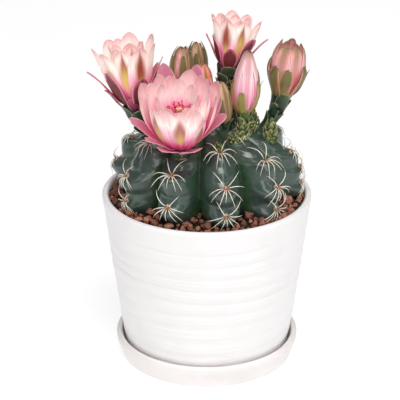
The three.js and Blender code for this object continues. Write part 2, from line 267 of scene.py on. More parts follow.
@dataclass(frozen=True)
class Seat:
    """A place on the plant with axes of its own: the rows of axes are its X, Y and Z."""

    origin: Array
    axes: Array

    @classmethod
    def facing(cls, origin: Sequence[float], axis: Sequence[float]) -> "Seat":
        """A seat whose Z runs along an axis.

        Args:
            origin: where the seat is.
            axis: where its Z points, of any length.

        Returns:
            The seat, turned as little as possible from upright.
        """
        ahead = unit(np.asarray(axis, dtype=float))
        cross = np.cross([0.0, 0.0, 1.0], ahead)
        skew = np.array([[0, -cross[2], cross[1]], [cross[2], 0, -cross[0]], [-cross[1], cross[0], 0]])
        turn = np.eye(3) + skew + skew @ skew / (1 + ahead[2])
        return cls(np.asarray(origin, dtype=float), turn.T)

    def place(self, local: Array) -> Array:
        """Points of the seat's own frame, in the part's frame."""
        return self.origin + local @ self.axes


@dataclass(frozen=True)
class Grain:
    """A smooth random field over space, the same each run: waves of several sizes added up."""

    wavelength: float
    seed: int
    waves: int = 7

    def at(self, points: Array) -> Array:
        """Values of the field.

        Args:
            points: any points, in millimetres, with X, Y and Z on the last axis.

        Returns:
            The values, about -1 to 1.
        """
        draw = np.random.default_rng(self.seed)
        total = np.zeros(points.shape[:-1])
        for _ in range(self.waves):
            heading = unit(draw.normal(size=3))
            pace = FULL_TURN / self.wavelength * draw.uniform(0.6, 1.7)
            total += np.sin(points @ heading * pace + draw.uniform(0, FULL_TURN))
        return total / math.sqrt(self.waves / 2) / 2


# -------- shader maths
class Signal:
    """One output of a shader node, with arithmetic."""

    def __init__(self, recipe: "Recipe", socket: bpy.types.NodeSocket) -> None:
        """Holds a socket of the recipe's tree."""
        self.recipe = recipe
        self.socket = socket

    def _with(self, operation: str, *values: "Signal | float") -> "Signal":
        """The result of a Math node on one or two values."""
        return self.recipe.node("ShaderNodeMath", {"operation": operation}, dict(enumerate(values)))

    def __add__(self, other: "Signal | float") -> "Signal":
        """Their sum."""
        return self._with("ADD", self, other)

    __radd__ = __add__

    def __sub__(self, other: "Signal | float") -> "Signal":
        """Their difference."""
        return self._with("SUBTRACT", self, other)

    def __rsub__(self, other: float) -> "Signal":
        """A number less this value."""
        return self._with("SUBTRACT", other, self)

    def __mul__(self, other: "Signal | float") -> "Signal":
        """Their product."""
        return self._with("MULTIPLY", self, other)

    __rmul__ = __mul__

    def __truediv__(self, other: "Signal | float") -> "Signal":
        """Their quotient."""
        return self._with("DIVIDE", self, other)

    def __rtruediv__(self, other: float) -> "Signal":
        """A number over this value."""
        return self._with("DIVIDE", other, self)

    def __abs__(self) -> "Signal":
        """This value without its sign."""
        return self._with("ABSOLUTE", self)

    def above(self, low: float, high: float) -> "Signal":
        """A soft step: 0 where this value is under low, 1 where it is over high."""
        inputs = {"Value": self, "From Min": low, "From Max": high}
        return self.recipe.node("ShaderNodeMapRange", {"interpolation_type": "SMOOTHSTEP"}, inputs)


class Recipe:
    """A material in the making: its node tree and the shader that everything leads to."""

    def __init__(self, name: str) -> None:
        """Starts a material with a lone Principled shader.

        Args:
            name: the material's name.
        """
        self.made = bpy.data.materials.new(name)
        self.made.use_nodes = True
        self.tree = self.made.node_tree
        self.shader = next(node for node in self.tree.nodes if node.type == "BSDF_PRINCIPLED")

    def node(
        self, kind: str, settings: dict | None = None, inputs: dict | None = None, output: str = ""
    ) -> Signal:
        """Adds a node.

        Args:
            kind: its type's name.
            settings: its properties, which are set first. The stops of a ramp are (place, colour) pairs.
            inputs: a value or a link for each socket, by name or by number.
            output: the name of the output that is used, or nothing for the first.

        Returns:
            That output.
        """
        node = self.tree.nodes.new(kind)
        for name, value in (settings or {}).items():
            if name == "stops":
                self._set_stops(node.color_ramp.elements, value)
            else:
                setattr(node, name, value)
        for key, value in (inputs or {}).items():
            self._feed(self._socket(node.inputs, key), value)
        return Signal(self, self._socket(node.outputs, output or 0))

    @staticmethod
    def _set_stops(elements: bpy.types.ColorRampElements, stops: Sequence[tuple[float, Rgba]]) -> None:
        """Gives a ramp its stops.

        Args:
            elements: the ramp's own stops, two or more.
            stops: the (place, colour) pairs it gets.
        """
        while len(elements) < len(stops):
            elements.new(1.0)
        for element, (place, colour) in zip(elements, stops):
            element.position = place
            element.color = colour

    @staticmethod
    def _socket(sockets: Iterable[bpy.types.NodeSocket], key: str | int) -> bpy.types.NodeSocket:
        """The socket with a name or number, among those that the node's settings leave in use."""
        in_use = [socket for socket in sockets if socket.enabled]
        return in_use[key] if isinstance(key, int) else next(s for s in in_use if s.name == key)

    def _feed(self, socket: bpy.types.NodeSocket, value: "Signal | float | Sequence[float]") -> None:
        """Links or sets a socket.

        Args:
            socket: an input of a node.
            value: the signal it is linked to, or what it is set to.
        """
        if isinstance(value, Signal):
            self.tree.links.new(value.socket, socket)
        else:
            socket.default_value = value

    def shade(self, **inputs: "Signal | float | Sequence[float]") -> None:
        """Sets inputs of the shader. An underscore in a name stands for a space."""
        for name, value in inputs.items():
            self._feed(self.shader.inputs[name.replace("_", " ")], value)

    def told(self, kind: Field) -> Signal:
        """What the mesh tells about its points."""
        return self.node("ShaderNodeAttribute", {"attribute_name": kind.value}, output="Fac")

    def _sized(self, size: float) -> dict[str, "Signal | float"]:
        """The inputs that make a texture's features so many millimetres wide."""
        return {"Vector": self.node("ShaderNodeTexCoord", output="Object"), "Scale": 1 / (size * MM)}

    def noise(self, size: float, detail: float = 2.0) -> Signal:
        """Soft random patches of 0 to 1, so many millimetres wide, with so many finer layers."""
        return self.node("ShaderNodeTexNoise", None, {**self._sized(size), "Detail": detail}, "Fac")

    def pores(self, size: float) -> Signal:
        """Distance from the middle of the nearest of many small cells, 0 to about 1."""
        return self.node("ShaderNodeTexVoronoi", None, self._sized(size), "Distance")

    def streaks(self, lines: float, length: float = 1.5) -> Signal:
        """Fine lines that run along a petal.

        Args:
            lines: about how many lie side by side on half a petal.
            length: about how often they change along it.

        Returns:
            The pattern, 0 to 1, different on each petal.
        """
        apart = 40.0  # from one petal's pattern to another's
        parts = {
            "X": self.told(Field.ACROSS) * lines,
            "Y": self.told(Field.ALONG) * length,
            "Z": self.told(Field.SEED) * apart,
        }
        place = self.node("ShaderNodeCombineXYZ", None, parts)
        return self.node("ShaderNodeTexNoise", None, {"Vector": place, "Scale": 1.0, "Detail": 2.0}, "Fac")

    def mix(self, first: "Signal | Rgba", second: "Signal | Rgba", share: "Signal | float") -> Signal:
        """A colour between two others."""
        settings = {"data_type": "RGBA", "blend_type": "MIX"}
        return self.node("ShaderNodeMix", settings, {"Factor": share, "A": first, "B": second})

    def ramp(self, value: Signal, *stops: tuple[float, Rgba]) -> Signal:
        """A colour from a value."""
        return self.node("ShaderNodeValToRGB", {"stops": stops}, {"Fac": value})

    def emboss(self, height: Signal, depth: float) -> None:
        """Bumps the surface by a height of 0 to 1, depth millimetres deep."""
        inputs = {"Strength": 1.0, "Distance": depth * MM, "Height": height}
        self.shade(Normal=self.node("ShaderNodeBump", None, inputs))


# -------- finishes
@dataclass(frozen=True)
class Finish:
    """What a piece is covered with."""

    name: str

    def paint(self, recipe: Recipe) -> None:
        """Fills a new material.

        Args:
            recipe: the new material.
        """
        raise NotImplementedError

    @cache
    def material(self) -> bpy.types.Material:
        """The finish as Blender's material.

        Returns:
            The material, made the first time that it is asked for.
        """
        recipe = Recipe(self.name)
        self.paint(recipe)
        return recipe.made


@dataclass(frozen=True)
class Glaze(Finish):
    """Fired white glaze: a glossy coat, faint clouds in it and a few pinholes."""

    body: Rgba = tint(246, 243, 243)
    cloud: Rgba = tint(243, 240, 240)
    fleck: Rgba = tint(196, 190, 182)
    roughness: float = 0.32
    coat: float = 0.3

    def paint(self, recipe: Recipe) -> None:
        """Fills a new material.

        Args:
            recipe: the new material.
        """
        clouds = recipe.noise(16, 3).above(0.42, 0.72)
        pinholes = 1 - recipe.pores(2.6).above(0.05, 0.09)
        chosen = recipe.noise(7).above(0.6, 0.66)
        glazed = recipe.mix(self.body, self.cloud, clouds)
        recipe.shade(
            Base_Color=recipe.mix(glazed, self.fleck, pinholes * chosen * 0.5),
            Roughness=recipe.noise(9).above(0.3, 0.8) * 0.08 + self.roughness,
            Coat_Weight=self.coat,
            Coat_Roughness=0.2,
        )
        recipe.emboss(recipe.noise(3.5, 1) + recipe.noise(0.9, 1) * 0.25, 0.05)


@dataclass(frozen=True)
class Skin(Finish):
    """The plant's waxy blue-green skin, greener in the grooves and finely speckled, with paler patches on the
    crests that are partly a painted highlight, and painted shade in the creases.
    """

    crest: Rgba = tint(52, 73, 63)
    groove: Rgba = tint(40, 70, 40)
    # painted shade: the dark colour laid in the creases between the ribs, where shade falls
    crease_shade: Rgba = tint(20, 34, 22)
    dark: Rgba = tint(28, 42, 42)
    # paler patches on the crests: partly the skin's own waxy coat and partly a painted highlight
    bloom_and_highlight: Rgba = tint(92, 108, 98)
    speck: Rgba = tint(116, 136, 124)

    def paint(self, recipe: Recipe) -> None:
        """Fills a new material.

        Args:
            recipe: the new material.
        """
        rise = recipe.told(Field.CREST)
        ground = recipe.mix(self.groove, self.crest, rise.above(0.1, 0.75))
        mottled = recipe.mix(ground, self.dark, recipe.noise(9, 3).above(0.46, 0.66) * 0.62)
        # paler patches on the crests, partly a painted highlight
        bloomed_and_highlit = recipe.mix(mottled, self.bloom_and_highlight, recipe.noise(13, 2).above(0.55, 0.75) * rise * 0.3)
        specks = (1 - recipe.pores(1.3).above(0.1, 0.22)) * recipe.noise(4).above(0.5, 0.65)
        specked = recipe.mix(bloomed_and_highlit, self.speck, specks * 0.4)
        # 0 in the creases, where painted shade darkens the colour, the coat goes and the skin is rougher
        open_skin = rise.above(0.0, 0.16)
        recipe.shade(
            Base_Color=recipe.mix(self.crease_shade, specked, open_skin),
            Roughness=recipe.noise(5, 3).above(0.3, 0.7) * 0.14 + 0.7 - open_skin * 0.4,
            Coat_Weight=open_skin * 0.75,
            Coat_Roughness=0.14,
        )
        recipe.emboss(recipe.noise(1.6, 3) * 0.5 + recipe.noise(7, 1) * 2.0, 0.3)


@dataclass(frozen=True)
class Horn(Finish):
    """A spine's horny surface: brown at the foot, ivory over its length, tan at the point."""

    foot: Rgba = tint(166, 112, 70)
    shaft: Rgba = tint(224, 216, 196)
    pale: Rgba = tint(247, 243, 232)
    point: Rgba = tint(200, 182, 150)

    def paint(self, recipe: Recipe) -> None:
        """Fills a new material.

        Args:
            recipe: the new material.
        """
        along = recipe.told(Field.ALONG)
        shaft = recipe.mix(self.shaft, self.pale, recipe.told(Field.SEED))
        footed = recipe.mix(self.foot, shaft, (along + recipe.noise(2) * 0.1).above(0.08, 0.3))
        recipe.shade(Base_Color=recipe.mix(footed, self.point, along.above(0.86, 1.0)), Roughness=0.5)
        recipe.emboss(recipe.noise(0.5, 1), 0.05)


@dataclass(frozen=True)
class Wool(Finish):
    """The felt of an areole."""

    light: Rgba = tint(222, 200, 178)
    dark: Rgba = tint(156, 120, 94)

    def paint(self, recipe: Recipe) -> None:
        """Fills a new material.

        Args:
            recipe: the new material.
        """
        tufts = recipe.noise(0.7, 3).above(0.35, 0.65)
        recipe.shade(Base_Color=recipe.mix(self.dark, self.light, tufts), Roughness=0.95, Sheen_Weight=0.3)
        recipe.emboss(recipe.noise(0.35, 2), 0.15)


@dataclass(frozen=True)
class PetalFinish(Finish):
    """A petal, sepal or scale: its face, its back, the patch down its back, its rim and its veins, with a
    painted glow from emission.
    """

    face: tuple[Rgba, ...] = (
        tint(176, 14, 104), tint(212, 44, 142), tint(238, 106, 172), tint(250, 182, 206), tint(255, 238, 234),
        tint(252, 218, 218),
    )
    back: tuple[Rgba, ...] = (
        tint(144, 16, 92), tint(204, 78, 144), tint(240, 180, 200), tint(254, 240, 232), tint(244, 196, 196),
    )
    patch: tuple[Rgba, Rgba] = (tint(206, 186, 90), tint(160, 76, 48))  # while green and once brown
    patch_share: float = 0.9
    patch_at: Pair = (0.58, 0.28)  # its middle and half its length, as shares
    patch_width: float = 0.44  # half its width, as a share
    rim: Rgba = tint(255, 226, 222)
    rim_share: float = 0.35
    rim_width: float = 0.16
    tip: Rgba = tint(150, 110, 100)
    tip_share: float = 0.35
    blush: Rgba = tint(204, 88, 116)
    blush_share: float = 0.36
    vein_share: float = 0.26
    roughness: float = 0.5
    glow: float = 0.2  # how much light passes into it
    painted_glow: float = 0.16  # how brightly it emits its own colour: a painted glow that stands in for light shining from behind

    def paint(self, recipe: Recipe) -> None:
        """Fills a new material.

        Args:
            recipe: the new material.
        """
        along, across = recipe.told(Field.ALONG), abs(recipe.told(Field.ACROSS))
        own = recipe.told(Field.SEED)
        wander = recipe.streaks(2.6, 2.0) * 0.4 - 0.2
        face = self._graded(recipe, along + wander, self.face)
        back = self._graded(recipe, along + wander, self.back)
        centre, reach = self.patch_at
        offset = (along - centre) / reach
        spindle = (1 - offset * offset) * self.patch_width - across + wander
        browning = (offset + own * 2.2 + across * 0.9 - 1.0).above(-0.2, 0.9)
        marked = recipe.mix(self.patch[0], self.patch[1], browning)
        shown = spindle.above(-0.32, 0.24) * own.above(0.3, 0.4) * self.patch_share
        backed = recipe.mix(back, marked, shown)
        colour = recipe.mix(face, backed, recipe.told(Field.BACK).above(0.3, 0.7))
        blushed = recipe.mix(colour, self.blush, own.above(0.35, 1.0) * (1 - shown) * self.blush_share)
        veins = recipe.streaks(12).above(0.45, 0.75) * (1.2 - shown)
        veined = recipe.mix(blushed, self.blush, veins * self.vein_share)
        # a paler rim along the edges; on the bud petals it is partly a painted highlight
        rimmed = recipe.mix(veined, self.rim, across.above(1 - self.rim_width, 1.0) * self.rim_share)
        tipped = recipe.mix(rimmed, self.tip, (along + across * 0.05).above(0.88, 1.03) * self.tip_share)
        recipe.shade(
            Base_Color=tipped,
            Roughness=self.roughness,
            Subsurface_Weight=self.glow,
            Subsurface_Radius=(1.0, 1.0, 1.0),
            Subsurface_Scale=0.0004,
            # painted glow: the petal emits its own colour, as if lit from behind
            Emission_Color=tipped,
            Emission_Strength=self.painted_glow,
        )
        recipe.emboss(recipe.streaks(16) + recipe.streaks(5) * 0.8, 0.12)

    def _graded(self, recipe: Recipe, along: Signal, colours: tuple[Rgba, ...]) -> Signal:
        """A colour that changes from foot to tip, over evenly spaced stops."""
        places = np.linspace(0.06, 0.94, len(colours)).tolist()
        return recipe.ramp(along, *zip(places, colours))


@dataclass(frozen=True)
class Stone(Finish):
    """Porous red-brown lava, with painted shade darkening its pores."""

    red: Rgba = tint(166, 104, 84)
    brown: Rgba = tint(116, 76, 60)
    orange: Rgba = tint(196, 134, 110)
    # painted shade laid in the pores
    pore_shade: Rgba = tint(70, 42, 34)

    def paint(self, recipe: Recipe) -> None:
        """Fills a new material.

        Args:
            recipe: the new material.
        """
        own = recipe.told(Field.SEED)
        ground = recipe.ramp(own, (0.0, self.brown), (0.55, self.red), (1.0, self.orange))
        dusted = recipe.mix(ground, self.brown, recipe.noise(1.6, 3).above(0.45, 0.7) * 0.6)
        # painted shade: the pores' hollows get a darker colour, and are sunk in the bump
        holes = 1 - recipe.pores(0.75).above(0.18, 0.42)
        recipe.shade(Base_Color=recipe.mix(dusted, self.pore_shade, holes * 0.75), Roughness=0.92)
        recipe.emboss(recipe.noise(0.6, 3) - holes * 0.8, 0.35)


@dataclass(frozen=True)
class Earth(Finish):
    """Dark potting soil."""

    dark: Rgba = tint(36, 28, 23)
    crumb: Rgba = tint(78, 58, 44)

    def paint(self, recipe: Recipe) -> None:
        """Fills a new material.

        Args:
            recipe: the new material.
        """
        crumbs = recipe.noise(1.2, 4).above(0.5, 0.7)
        recipe.shade(Base_Color=recipe.mix(self.dark, self.crumb, crumbs), Roughness=0.97)
        recipe.emboss(recipe.noise(0.9, 4), 0.6)


@dataclass(frozen=True)
class Flesh(Finish):
    """Soft plant tissue that grades from its foot to its tip, such as a stem, filament or stigma."""

    foot: Rgba
    tip: Rgba
    other: Rgba  # what mottles it
    roughness: float = 0.5
    grain: float = 2.5

    def paint(self, recipe: Recipe) -> None:
        """Fills a new material.

        Args:
            recipe: the new material.
        """
        graded = recipe.mix(self.foot, self.tip, recipe.told(Field.ALONG).above(0.0, 1.0))
        mottle = recipe.noise(self.grain, 3).above(0.42, 0.68)
        varied = recipe.mix(graded, self.other, (mottle + recipe.told(Field.SEED)).above(0.6, 1.6) * 0.8)
        recipe.shade(Base_Color=varied, Roughness=self.roughness)
        recipe.emboss(recipe.noise(self.grain / 3, 2), 0.1)


@dataclass(frozen=True)
class Paper(Finish):
    """The studio's plain pale floor, lit from below so that shadows on it are faint."""

    pale: Rgba = tint(172, 172, 172)
    white: Rgba = tint(255, 255, 255)
    lit: float = 0.7  # how brightly it is lit from below, as a light table

    def paint(self, recipe: Recipe) -> None:
        """Fills a new material.

        Args:
            recipe: the new material.
        """
        recipe.shade(
            Base_Color=self.pale,
            Roughness=0.9,
            Specular_IOR_Level=0.1,
            Emission_Color=self.white,
            Emission_Strength=self.lit,
        )


POT_GLAZE = Glaze("pot_glaze")
SAUCER_GLAZE = Glaze(
    "saucer_glaze", body=tint(247, 241, 239), cloud=tint(240, 234, 232), roughness=0.36, coat=0.25
)
CACTUS_SKIN = Skin("cactus_skin")
SPINE_HORN = Horn("spine_horn")
AREOLE_WOOL = Wool("areole_wool")
LAVA = Stone("lava")
POTTING_SOIL = Earth("potting_soil_earth")
TUBE_FLESH = Flesh("flower_tube_flesh", tint(58, 84, 52), tint(34, 52, 42), tint(20, 34, 30))
FILAMENT = Flesh("filament", tint(206, 20, 120), tint(238, 90, 156), tint(214, 40, 130), grain=1)
ANTHER = Flesh("anther", tint(236, 44, 136), tint(252, 180, 130), tint(214, 20, 126), grain=0.6)
STIGMA = Flesh("stigma", tint(240, 150, 150), tint(252, 216, 170), tint(244, 180, 140), grain=0.8)
CUP_PETAL = PetalFinish("cup_petal")
PALE_CUP_PETAL = PetalFinish(
    "pale_cup_petal",
    face=(
        tint(226, 70, 140), tint(252, 190, 210), tint(255, 240, 236), tint(255, 248, 240),
        tint(254, 228, 222),
    ),
    back=(
        tint(130, 16, 80), tint(214, 84, 146), tint(250, 190, 204), tint(255, 248, 236), tint(254, 232, 224),
    ),
    patch=(tint(214, 192, 96), tint(156, 70, 42)),
    patch_share=1.0,
    patch_at=(0.62, 0.32),
    patch_width=0.34,
    rim=tint(222, 138, 128),
    rim_share=0.26,
    rim_width=0.22,
    blush=tint(236, 120, 150),
    blush_share=0.14,
    tip=tint(184, 96, 92),
    tip_share=0.5,
)
BRIGHT_SEPAL = PetalFinish(
    "bright_sepal",
    face=(tint(196, 50, 112), tint(222, 110, 142), tint(222, 130, 152), tint(192, 126, 150)),
    back=(tint(150, 40, 88), tint(200, 100, 128), tint(212, 120, 142), tint(206, 114, 134)),
    patch=(tint(176, 88, 108), tint(140, 70, 80)),
    patch_share=0.5,
    rim=tint(255, 222, 220),
    rim_share=0.75,
    rim_width=0.12,
    tip=tint(206, 140, 146),
    blush=tint(214, 120, 156),
    blush_share=0.35,
)
MAROON_SEPAL = PetalFinish(
    "maroon_sepal",
    face=(tint(150, 30, 96), tint(226, 120, 160), tint(232, 150, 170), tint(222, 140, 156)),
    back=(tint(84, 14, 52), tint(140, 32, 76), tint(166, 58, 84), tint(196, 98, 120)),
    patch=(tint(86, 12, 26), tint(108, 30, 32)),
    patch_share=0.95,
    patch_at=(0.46, 0.55),
    patch_width=0.95,
    rim=tint(244, 170, 186),
    rim_share=0.85,
    rim_width=0.24,
    tip=tint(140, 90, 96),
    blush=tint(150, 60, 84),
    blush_share=0.3,
    painted_glow=0.03,
)
DARK_SCALE = PetalFinish(
    "dark_scale",
    face=(tint(40, 60, 44), tint(56, 78, 56), tint(120, 110, 90)),
    back=(tint(30, 50, 36), tint(48, 72, 50), tint(90, 102, 68)),
    patch=(tint(36, 58, 42), tint(50, 70, 50)),
    rim=tint(178, 172, 146),
    rim_share=0.7,
    rim_width=0.2,
    tip=tint(196, 176, 146),
    tip_share=0.7,
    blush=tint(70, 88, 56),
    blush_share=0.4,
    roughness=0.42,
    painted_glow=0.0,
)
BUD_PETAL = PetalFinish(
    "bud_petal",
    face=(tint(214, 80, 120), tint(244, 150, 170), tint(252, 214, 212), tint(240, 196, 184)),
    back=(tint(206, 72, 84), tint(238, 132, 148), tint(252, 208, 210), tint(234, 188, 170)),
    patch=(tint(204, 160, 122), tint(112, 116, 52)),
    patch_at=(1.0, 0.74),
    patch_width=0.5,
    patch_share=0.74,
    # a pale rim that is partly a painted highlight along the petals' edges
    rim=tint(252, 226, 216),
    rim_share=0.7,
    rim_width=0.24,
    tip=tint(122, 108, 66),
    tip_share=0.7,
    blush=tint(218, 70, 96),
    blush_share=0.6,
    vein_share=0.45,
    painted_glow=0.07,
)
PALE_BUD_PETAL = replace(
    BUD_PETAL,
    name="pale_bud_petal",
    back=(tint(226, 110, 150), tint(250, 180, 200), tint(255, 226, 230), tint(246, 206, 200)),
    patch_share=0.35,
    rim=tint(255, 240, 240),
    rim_share=0.8,
    rim_width=0.4,
    blush=tint(226, 84, 142),
    blush_share=0.2,
    vein_share=0.8,
)
OLIVE_SEPAL = PetalFinish(
    "olive_sepal",
    face=(tint(160, 70, 80), tint(200, 150, 130), tint(170, 150, 110)),
    back=(tint(104, 116, 60), tint(206, 140, 112), tint(214, 160, 130), tint(150, 134, 96)),
    patch=(tint(140, 132, 74), tint(104, 100, 54)),
    patch_at=(0.62, 0.55),
    patch_width=0.8,
    painted_glow=0.02,
    rim=tint(210, 158, 122),
    rim_share=0.7,
    rim_width=0.36,
    tip=tint(96, 88, 50),
    tip_share=0.6,
    blush=tint(190, 120, 100),
    blush_share=0.25,
)
GREEN_SEPAL = replace(
    OLIVE_SEPAL,
    name="green_sepal",
    back=(tint(120, 134, 62), tint(190, 160, 108), tint(214, 170, 140), tint(168, 150, 106)),
    patch=(tint(176, 176, 82), tint(138, 136, 62)),
)
CREAM_SEPAL = PetalFinish(
    "cream_sepal",
    face=(tint(190, 150, 110), tint(226, 204, 160), tint(230, 206, 170)),
    back=(tint(132, 120, 70), tint(204, 182, 138), tint(206, 180, 146)),
    patch=(tint(150, 138, 72), tint(126, 104, 60)),
    painted_glow=0.05,
    patch_at=(0.5, 0.55),
    patch_width=0.45,
    rim=tint(244, 222, 190),
    rim_share=0.7,
    tip=tint(140, 100, 70),
    tip_share=0.6,
    blush=tint(216, 166, 130),
)
SALMON_SEPAL = PetalFinish(
    "salmon_sepal",
    face=(tint(200, 90, 80), tint(236, 150, 130), tint(236, 170, 140)),
    back=(tint(150, 110, 66), tint(228, 142, 118), tint(238, 170, 146)),
    patch=(tint(138, 112, 54), tint(150, 104, 52)),
    patch_at=(0.55, 0.5),
    patch_width=0.4,
    rim=tint(246, 200, 176),
    rim_share=0.6,
    tip=tint(130, 92, 50),
    tip_share=0.6,
    blush=tint(240, 130, 110),
)
YOUNG_SCALE = PetalFinish(
    "young_scale",
    face=(tint(70, 92, 44), tint(104, 124, 66), tint(156, 156, 104)),
    back=(tint(40, 62, 30), tint(92, 120, 56), tint(160, 172, 106)),
    painted_glow=0.0,
    patch=(tint(78, 108, 50), tint(92, 112, 56)),
    patch_width=0.55,
    rim=tint(200, 198, 150),
    rim_share=0.7,
    rim_width=0.26,
    tip=tint(206, 178, 146),
    tip_share=0.7,
    blush=tint(140, 128, 84),
)


# -------- saucer and pot
def lip_round(centre: float, top: float, radius: float, steps: int = 14) -> Array:
    """Half a round lip as (radius, height) rows, from its outside over its top to its inside."""
    turn = np.linspace(0, math.pi, steps)
    return np.stack([centre + radius * np.cos(turn), top - radius + radius * np.sin(turn)], axis=1)


def straight(start: Sequence[float], end: Sequence[float], step: float = 1.0) -> Array:
    """Evenly spaced (radius, height) rows from start to just before end.

    Args:
        start: the (radius, height) that the first row has.
        end: the one that the rows stop short of.
        step: how far apart they are, about.

    Returns:
        The rows.
    """
    run = math.dist(start, end)
    share = np.arange(0, 1, step / run)[:, None]
    return np.asarray(start) * (1 - share) + np.asarray(end) * share


def turned(outline: Array, sides: int) -> Array:
    """Rings of an outline of (radius, height) rows, turned about Z."""
    azimuth = np.arange(sides) / sides * FULL_TURN
    return around(outline[:, 0:1], azimuth[None], outline[:, 1:2])


@dataclass
class Saucer:
    """The glazed saucer, which carries everything."""

    foot_radius: float = 38.0
    heel_radius: float = 43.4
    heel_bevel: float = 1.8
    rim_wall: float = 3.1
    inner_radius: float = 41.9
    floor: float = 3.5
    sides: int = 220
    unevenness: float = 0.12

    def build(self) -> None:
        """Makes the saucer in the place of its node."""
        _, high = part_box("saucer")
        rim_radius, height = high.x / MM, high.z / MM
        lip = self.rim_wall / 2
        heel = (self.heel_radius, self.heel_bevel)
        outline = np.concatenate([
            straight((0.5, 0), (self.foot_radius, 0), 3),
            straight((self.foot_radius, 0), (self.heel_radius - self.heel_bevel, self.heel_bevel / 3)),
            bezier([(self.heel_radius - self.heel_bevel, self.heel_bevel / 3), (self.heel_radius, 0.7), heel],
                   np.linspace(0, 1, 6)),
            straight(heel, (rim_radius, height - self.rim_wall))[1:],
            lip_round(rim_radius - lip, height, lip),
            straight((rim_radius - self.rim_wall, height - lip), (self.inner_radius, self.floor + 1.5))[1:],
            bezier([(self.inner_radius, self.floor + 1.5), (self.inner_radius, self.floor),
                    (self.inner_radius - 1.5, self.floor)], np.linspace(0, 1, 6)),
            straight((self.inner_radius - 1.6, self.floor), (0.5, self.floor), 3),
        ])
        rings = turned(outline, self.sides)
        upper = np.clip(rings[..., 2:] / height, 0, 1)
        rings[..., :2] *= 1 + upper * Grain(38, SEED).at(rings)[..., None] * self.unevenness / rim_radius
        shell = Shell("saucer_body")
        shell.loft(rings, {})
        shell.make(SAUCER_GLAZE, "saucer_glaze", "saucer")


@dataclass
class Pot:
    """The hand-thrown pot: soft uneven rings outside, a plain band under the lip, a foot ring and a drain."""

    heel_radius: float = 40.8
    taper: float = 0.1445
    wall: float = 3.4
    rim_radius: float = 52.3
    base: float = 3.5
    foot_inner: float = 34.0
    foot_outer: float = 39.0
    foot_height: float = 2.5
    heel_bevel: float = 1.8
    floor_thickness: float = 4.5
    fillet: float = 3.5
    drain_radius: float = 5.0
    ring_lowest: float = 18.1
    ring_pitch: float = 7.37
    ring_depth: float = 0.48
    line_pitch: float = 2.3  # of the fine lines that fingers leave
    line_depth: float = 0.045
    ring_band: Pair = (11.0, 81.0)
    waver: float = 0.8  # how far the rings and lines rise and fall
    unevenness: float = 0.15
    sides: int = 260

    @property
    def floor(self) -> float:
        """The height of the pot's floor inside."""
        return self.base + self.foot_height + self.floor_thickness

    @property
    def height(self) -> float:
        """The height of the lip's top, as packed."""
        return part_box("pot")[1].z / MM

    def outside(self, height: Array | float) -> Array | float:
        """The radius of the wall's outside."""
        return self.heel_radius + self.taper * (height - self.base)

    def inside(self, height: Array | float) -> Array | float:
        """The radius of the wall's inside."""
        return self.outside(height) - self.wall

    def _rings(self, points: Array) -> Array:
        """How far the throwing rings stand out at points of the wall.

        Args:
            points: points of the wall, with X, Y and Z on the last axis.

        Returns:
            The distances, less than 0 in a hollow.
        """
        azimuth = np.arctan2(points[..., 0], -points[..., 1])
        height = points[..., 2]
        drift = self.waver * (np.sin(azimuth + height * 0.11) + 0.5 * np.sin(2 * azimuth - height * 0.23))
        phase = (height - self.ring_lowest + drift) / self.ring_pitch
        wave = np.abs(np.sin(phase * math.pi)) ** 0.7 - 0.5
        strength = np.clip(0.9 + 0.6 * Grain(34, SEED + 8).at(points), 0.3, 1.5)
        fingers = np.sin((height + drift * 1.7) / self.line_pitch * FULL_TURN)
        lines = fingers * (1 + Grain(20, SEED + 9).at(points))
        low, high = self.ring_band
        fade = np.clip((height - low) / 4, 0, 1) * np.clip((high - height) / 5, 0, 1)
        return (self.ring_depth * wave * strength + self.line_depth * lines) * fade

    def build(self) -> None:
        """Makes the pot in the place of its node."""
        underside, top = self.base + self.foot_height, self.height
        lip = self.wall / 2
        lip_centre = self.rim_radius - lip
        heel = (self.outside(self.base + self.heel_bevel), self.base + self.heel_bevel)
        fillet_top = (self.inside(self.floor + self.fillet), self.floor + self.fillet)
        floor_edge = (self.inside(self.floor) - self.fillet, self.floor)
        outline = np.concatenate([
            straight((self.drain_radius, underside), (self.foot_inner - 0.5, underside), 2.5),
            straight((self.foot_inner - 0.5, underside), (self.foot_inner, self.base)),
            straight((self.foot_inner, self.base), (self.foot_outer, self.base)),
            bezier([(self.foot_outer, self.base), (heel[0] - 0.3, self.base), heel], np.linspace(0, 1, 7)),
            straight(heel, (self.rim_radius, top - lip), 0.55)[1:],
            lip_round(lip_centre, top, lip),
            straight((lip_centre - lip, top - lip), fillet_top, 2)[1:],
            bezier([fillet_top, (self.inside(self.floor), self.floor), floor_edge], np.linspace(0, 1, 7)),
            straight(floor_edge, (self.drain_radius, self.floor), 2.5)[1:],
            straight((self.drain_radius, self.floor), (self.drain_radius, underside)),
        ])
        rings = turned(outline, self.sides)
        radius = np.hypot(rings[..., 0], rings[..., 1])
        outer = radius > self.outside(rings[..., 2]) - 0.6 * self.wall
        shift = np.where(outer & (rings[..., 2] > heel[1]), self._rings(rings), 0)
        shift += self.unevenness * Grain(45, SEED + 1).at(rings)
        rings[..., :2] *= (1 + shift / radius)[..., None]
        shell = Shell("pot_body")
        shell.loft(rings, {}, Ends.JOINED)
        shell.make(POT_GLAZE, "pot_glaze", "pot")


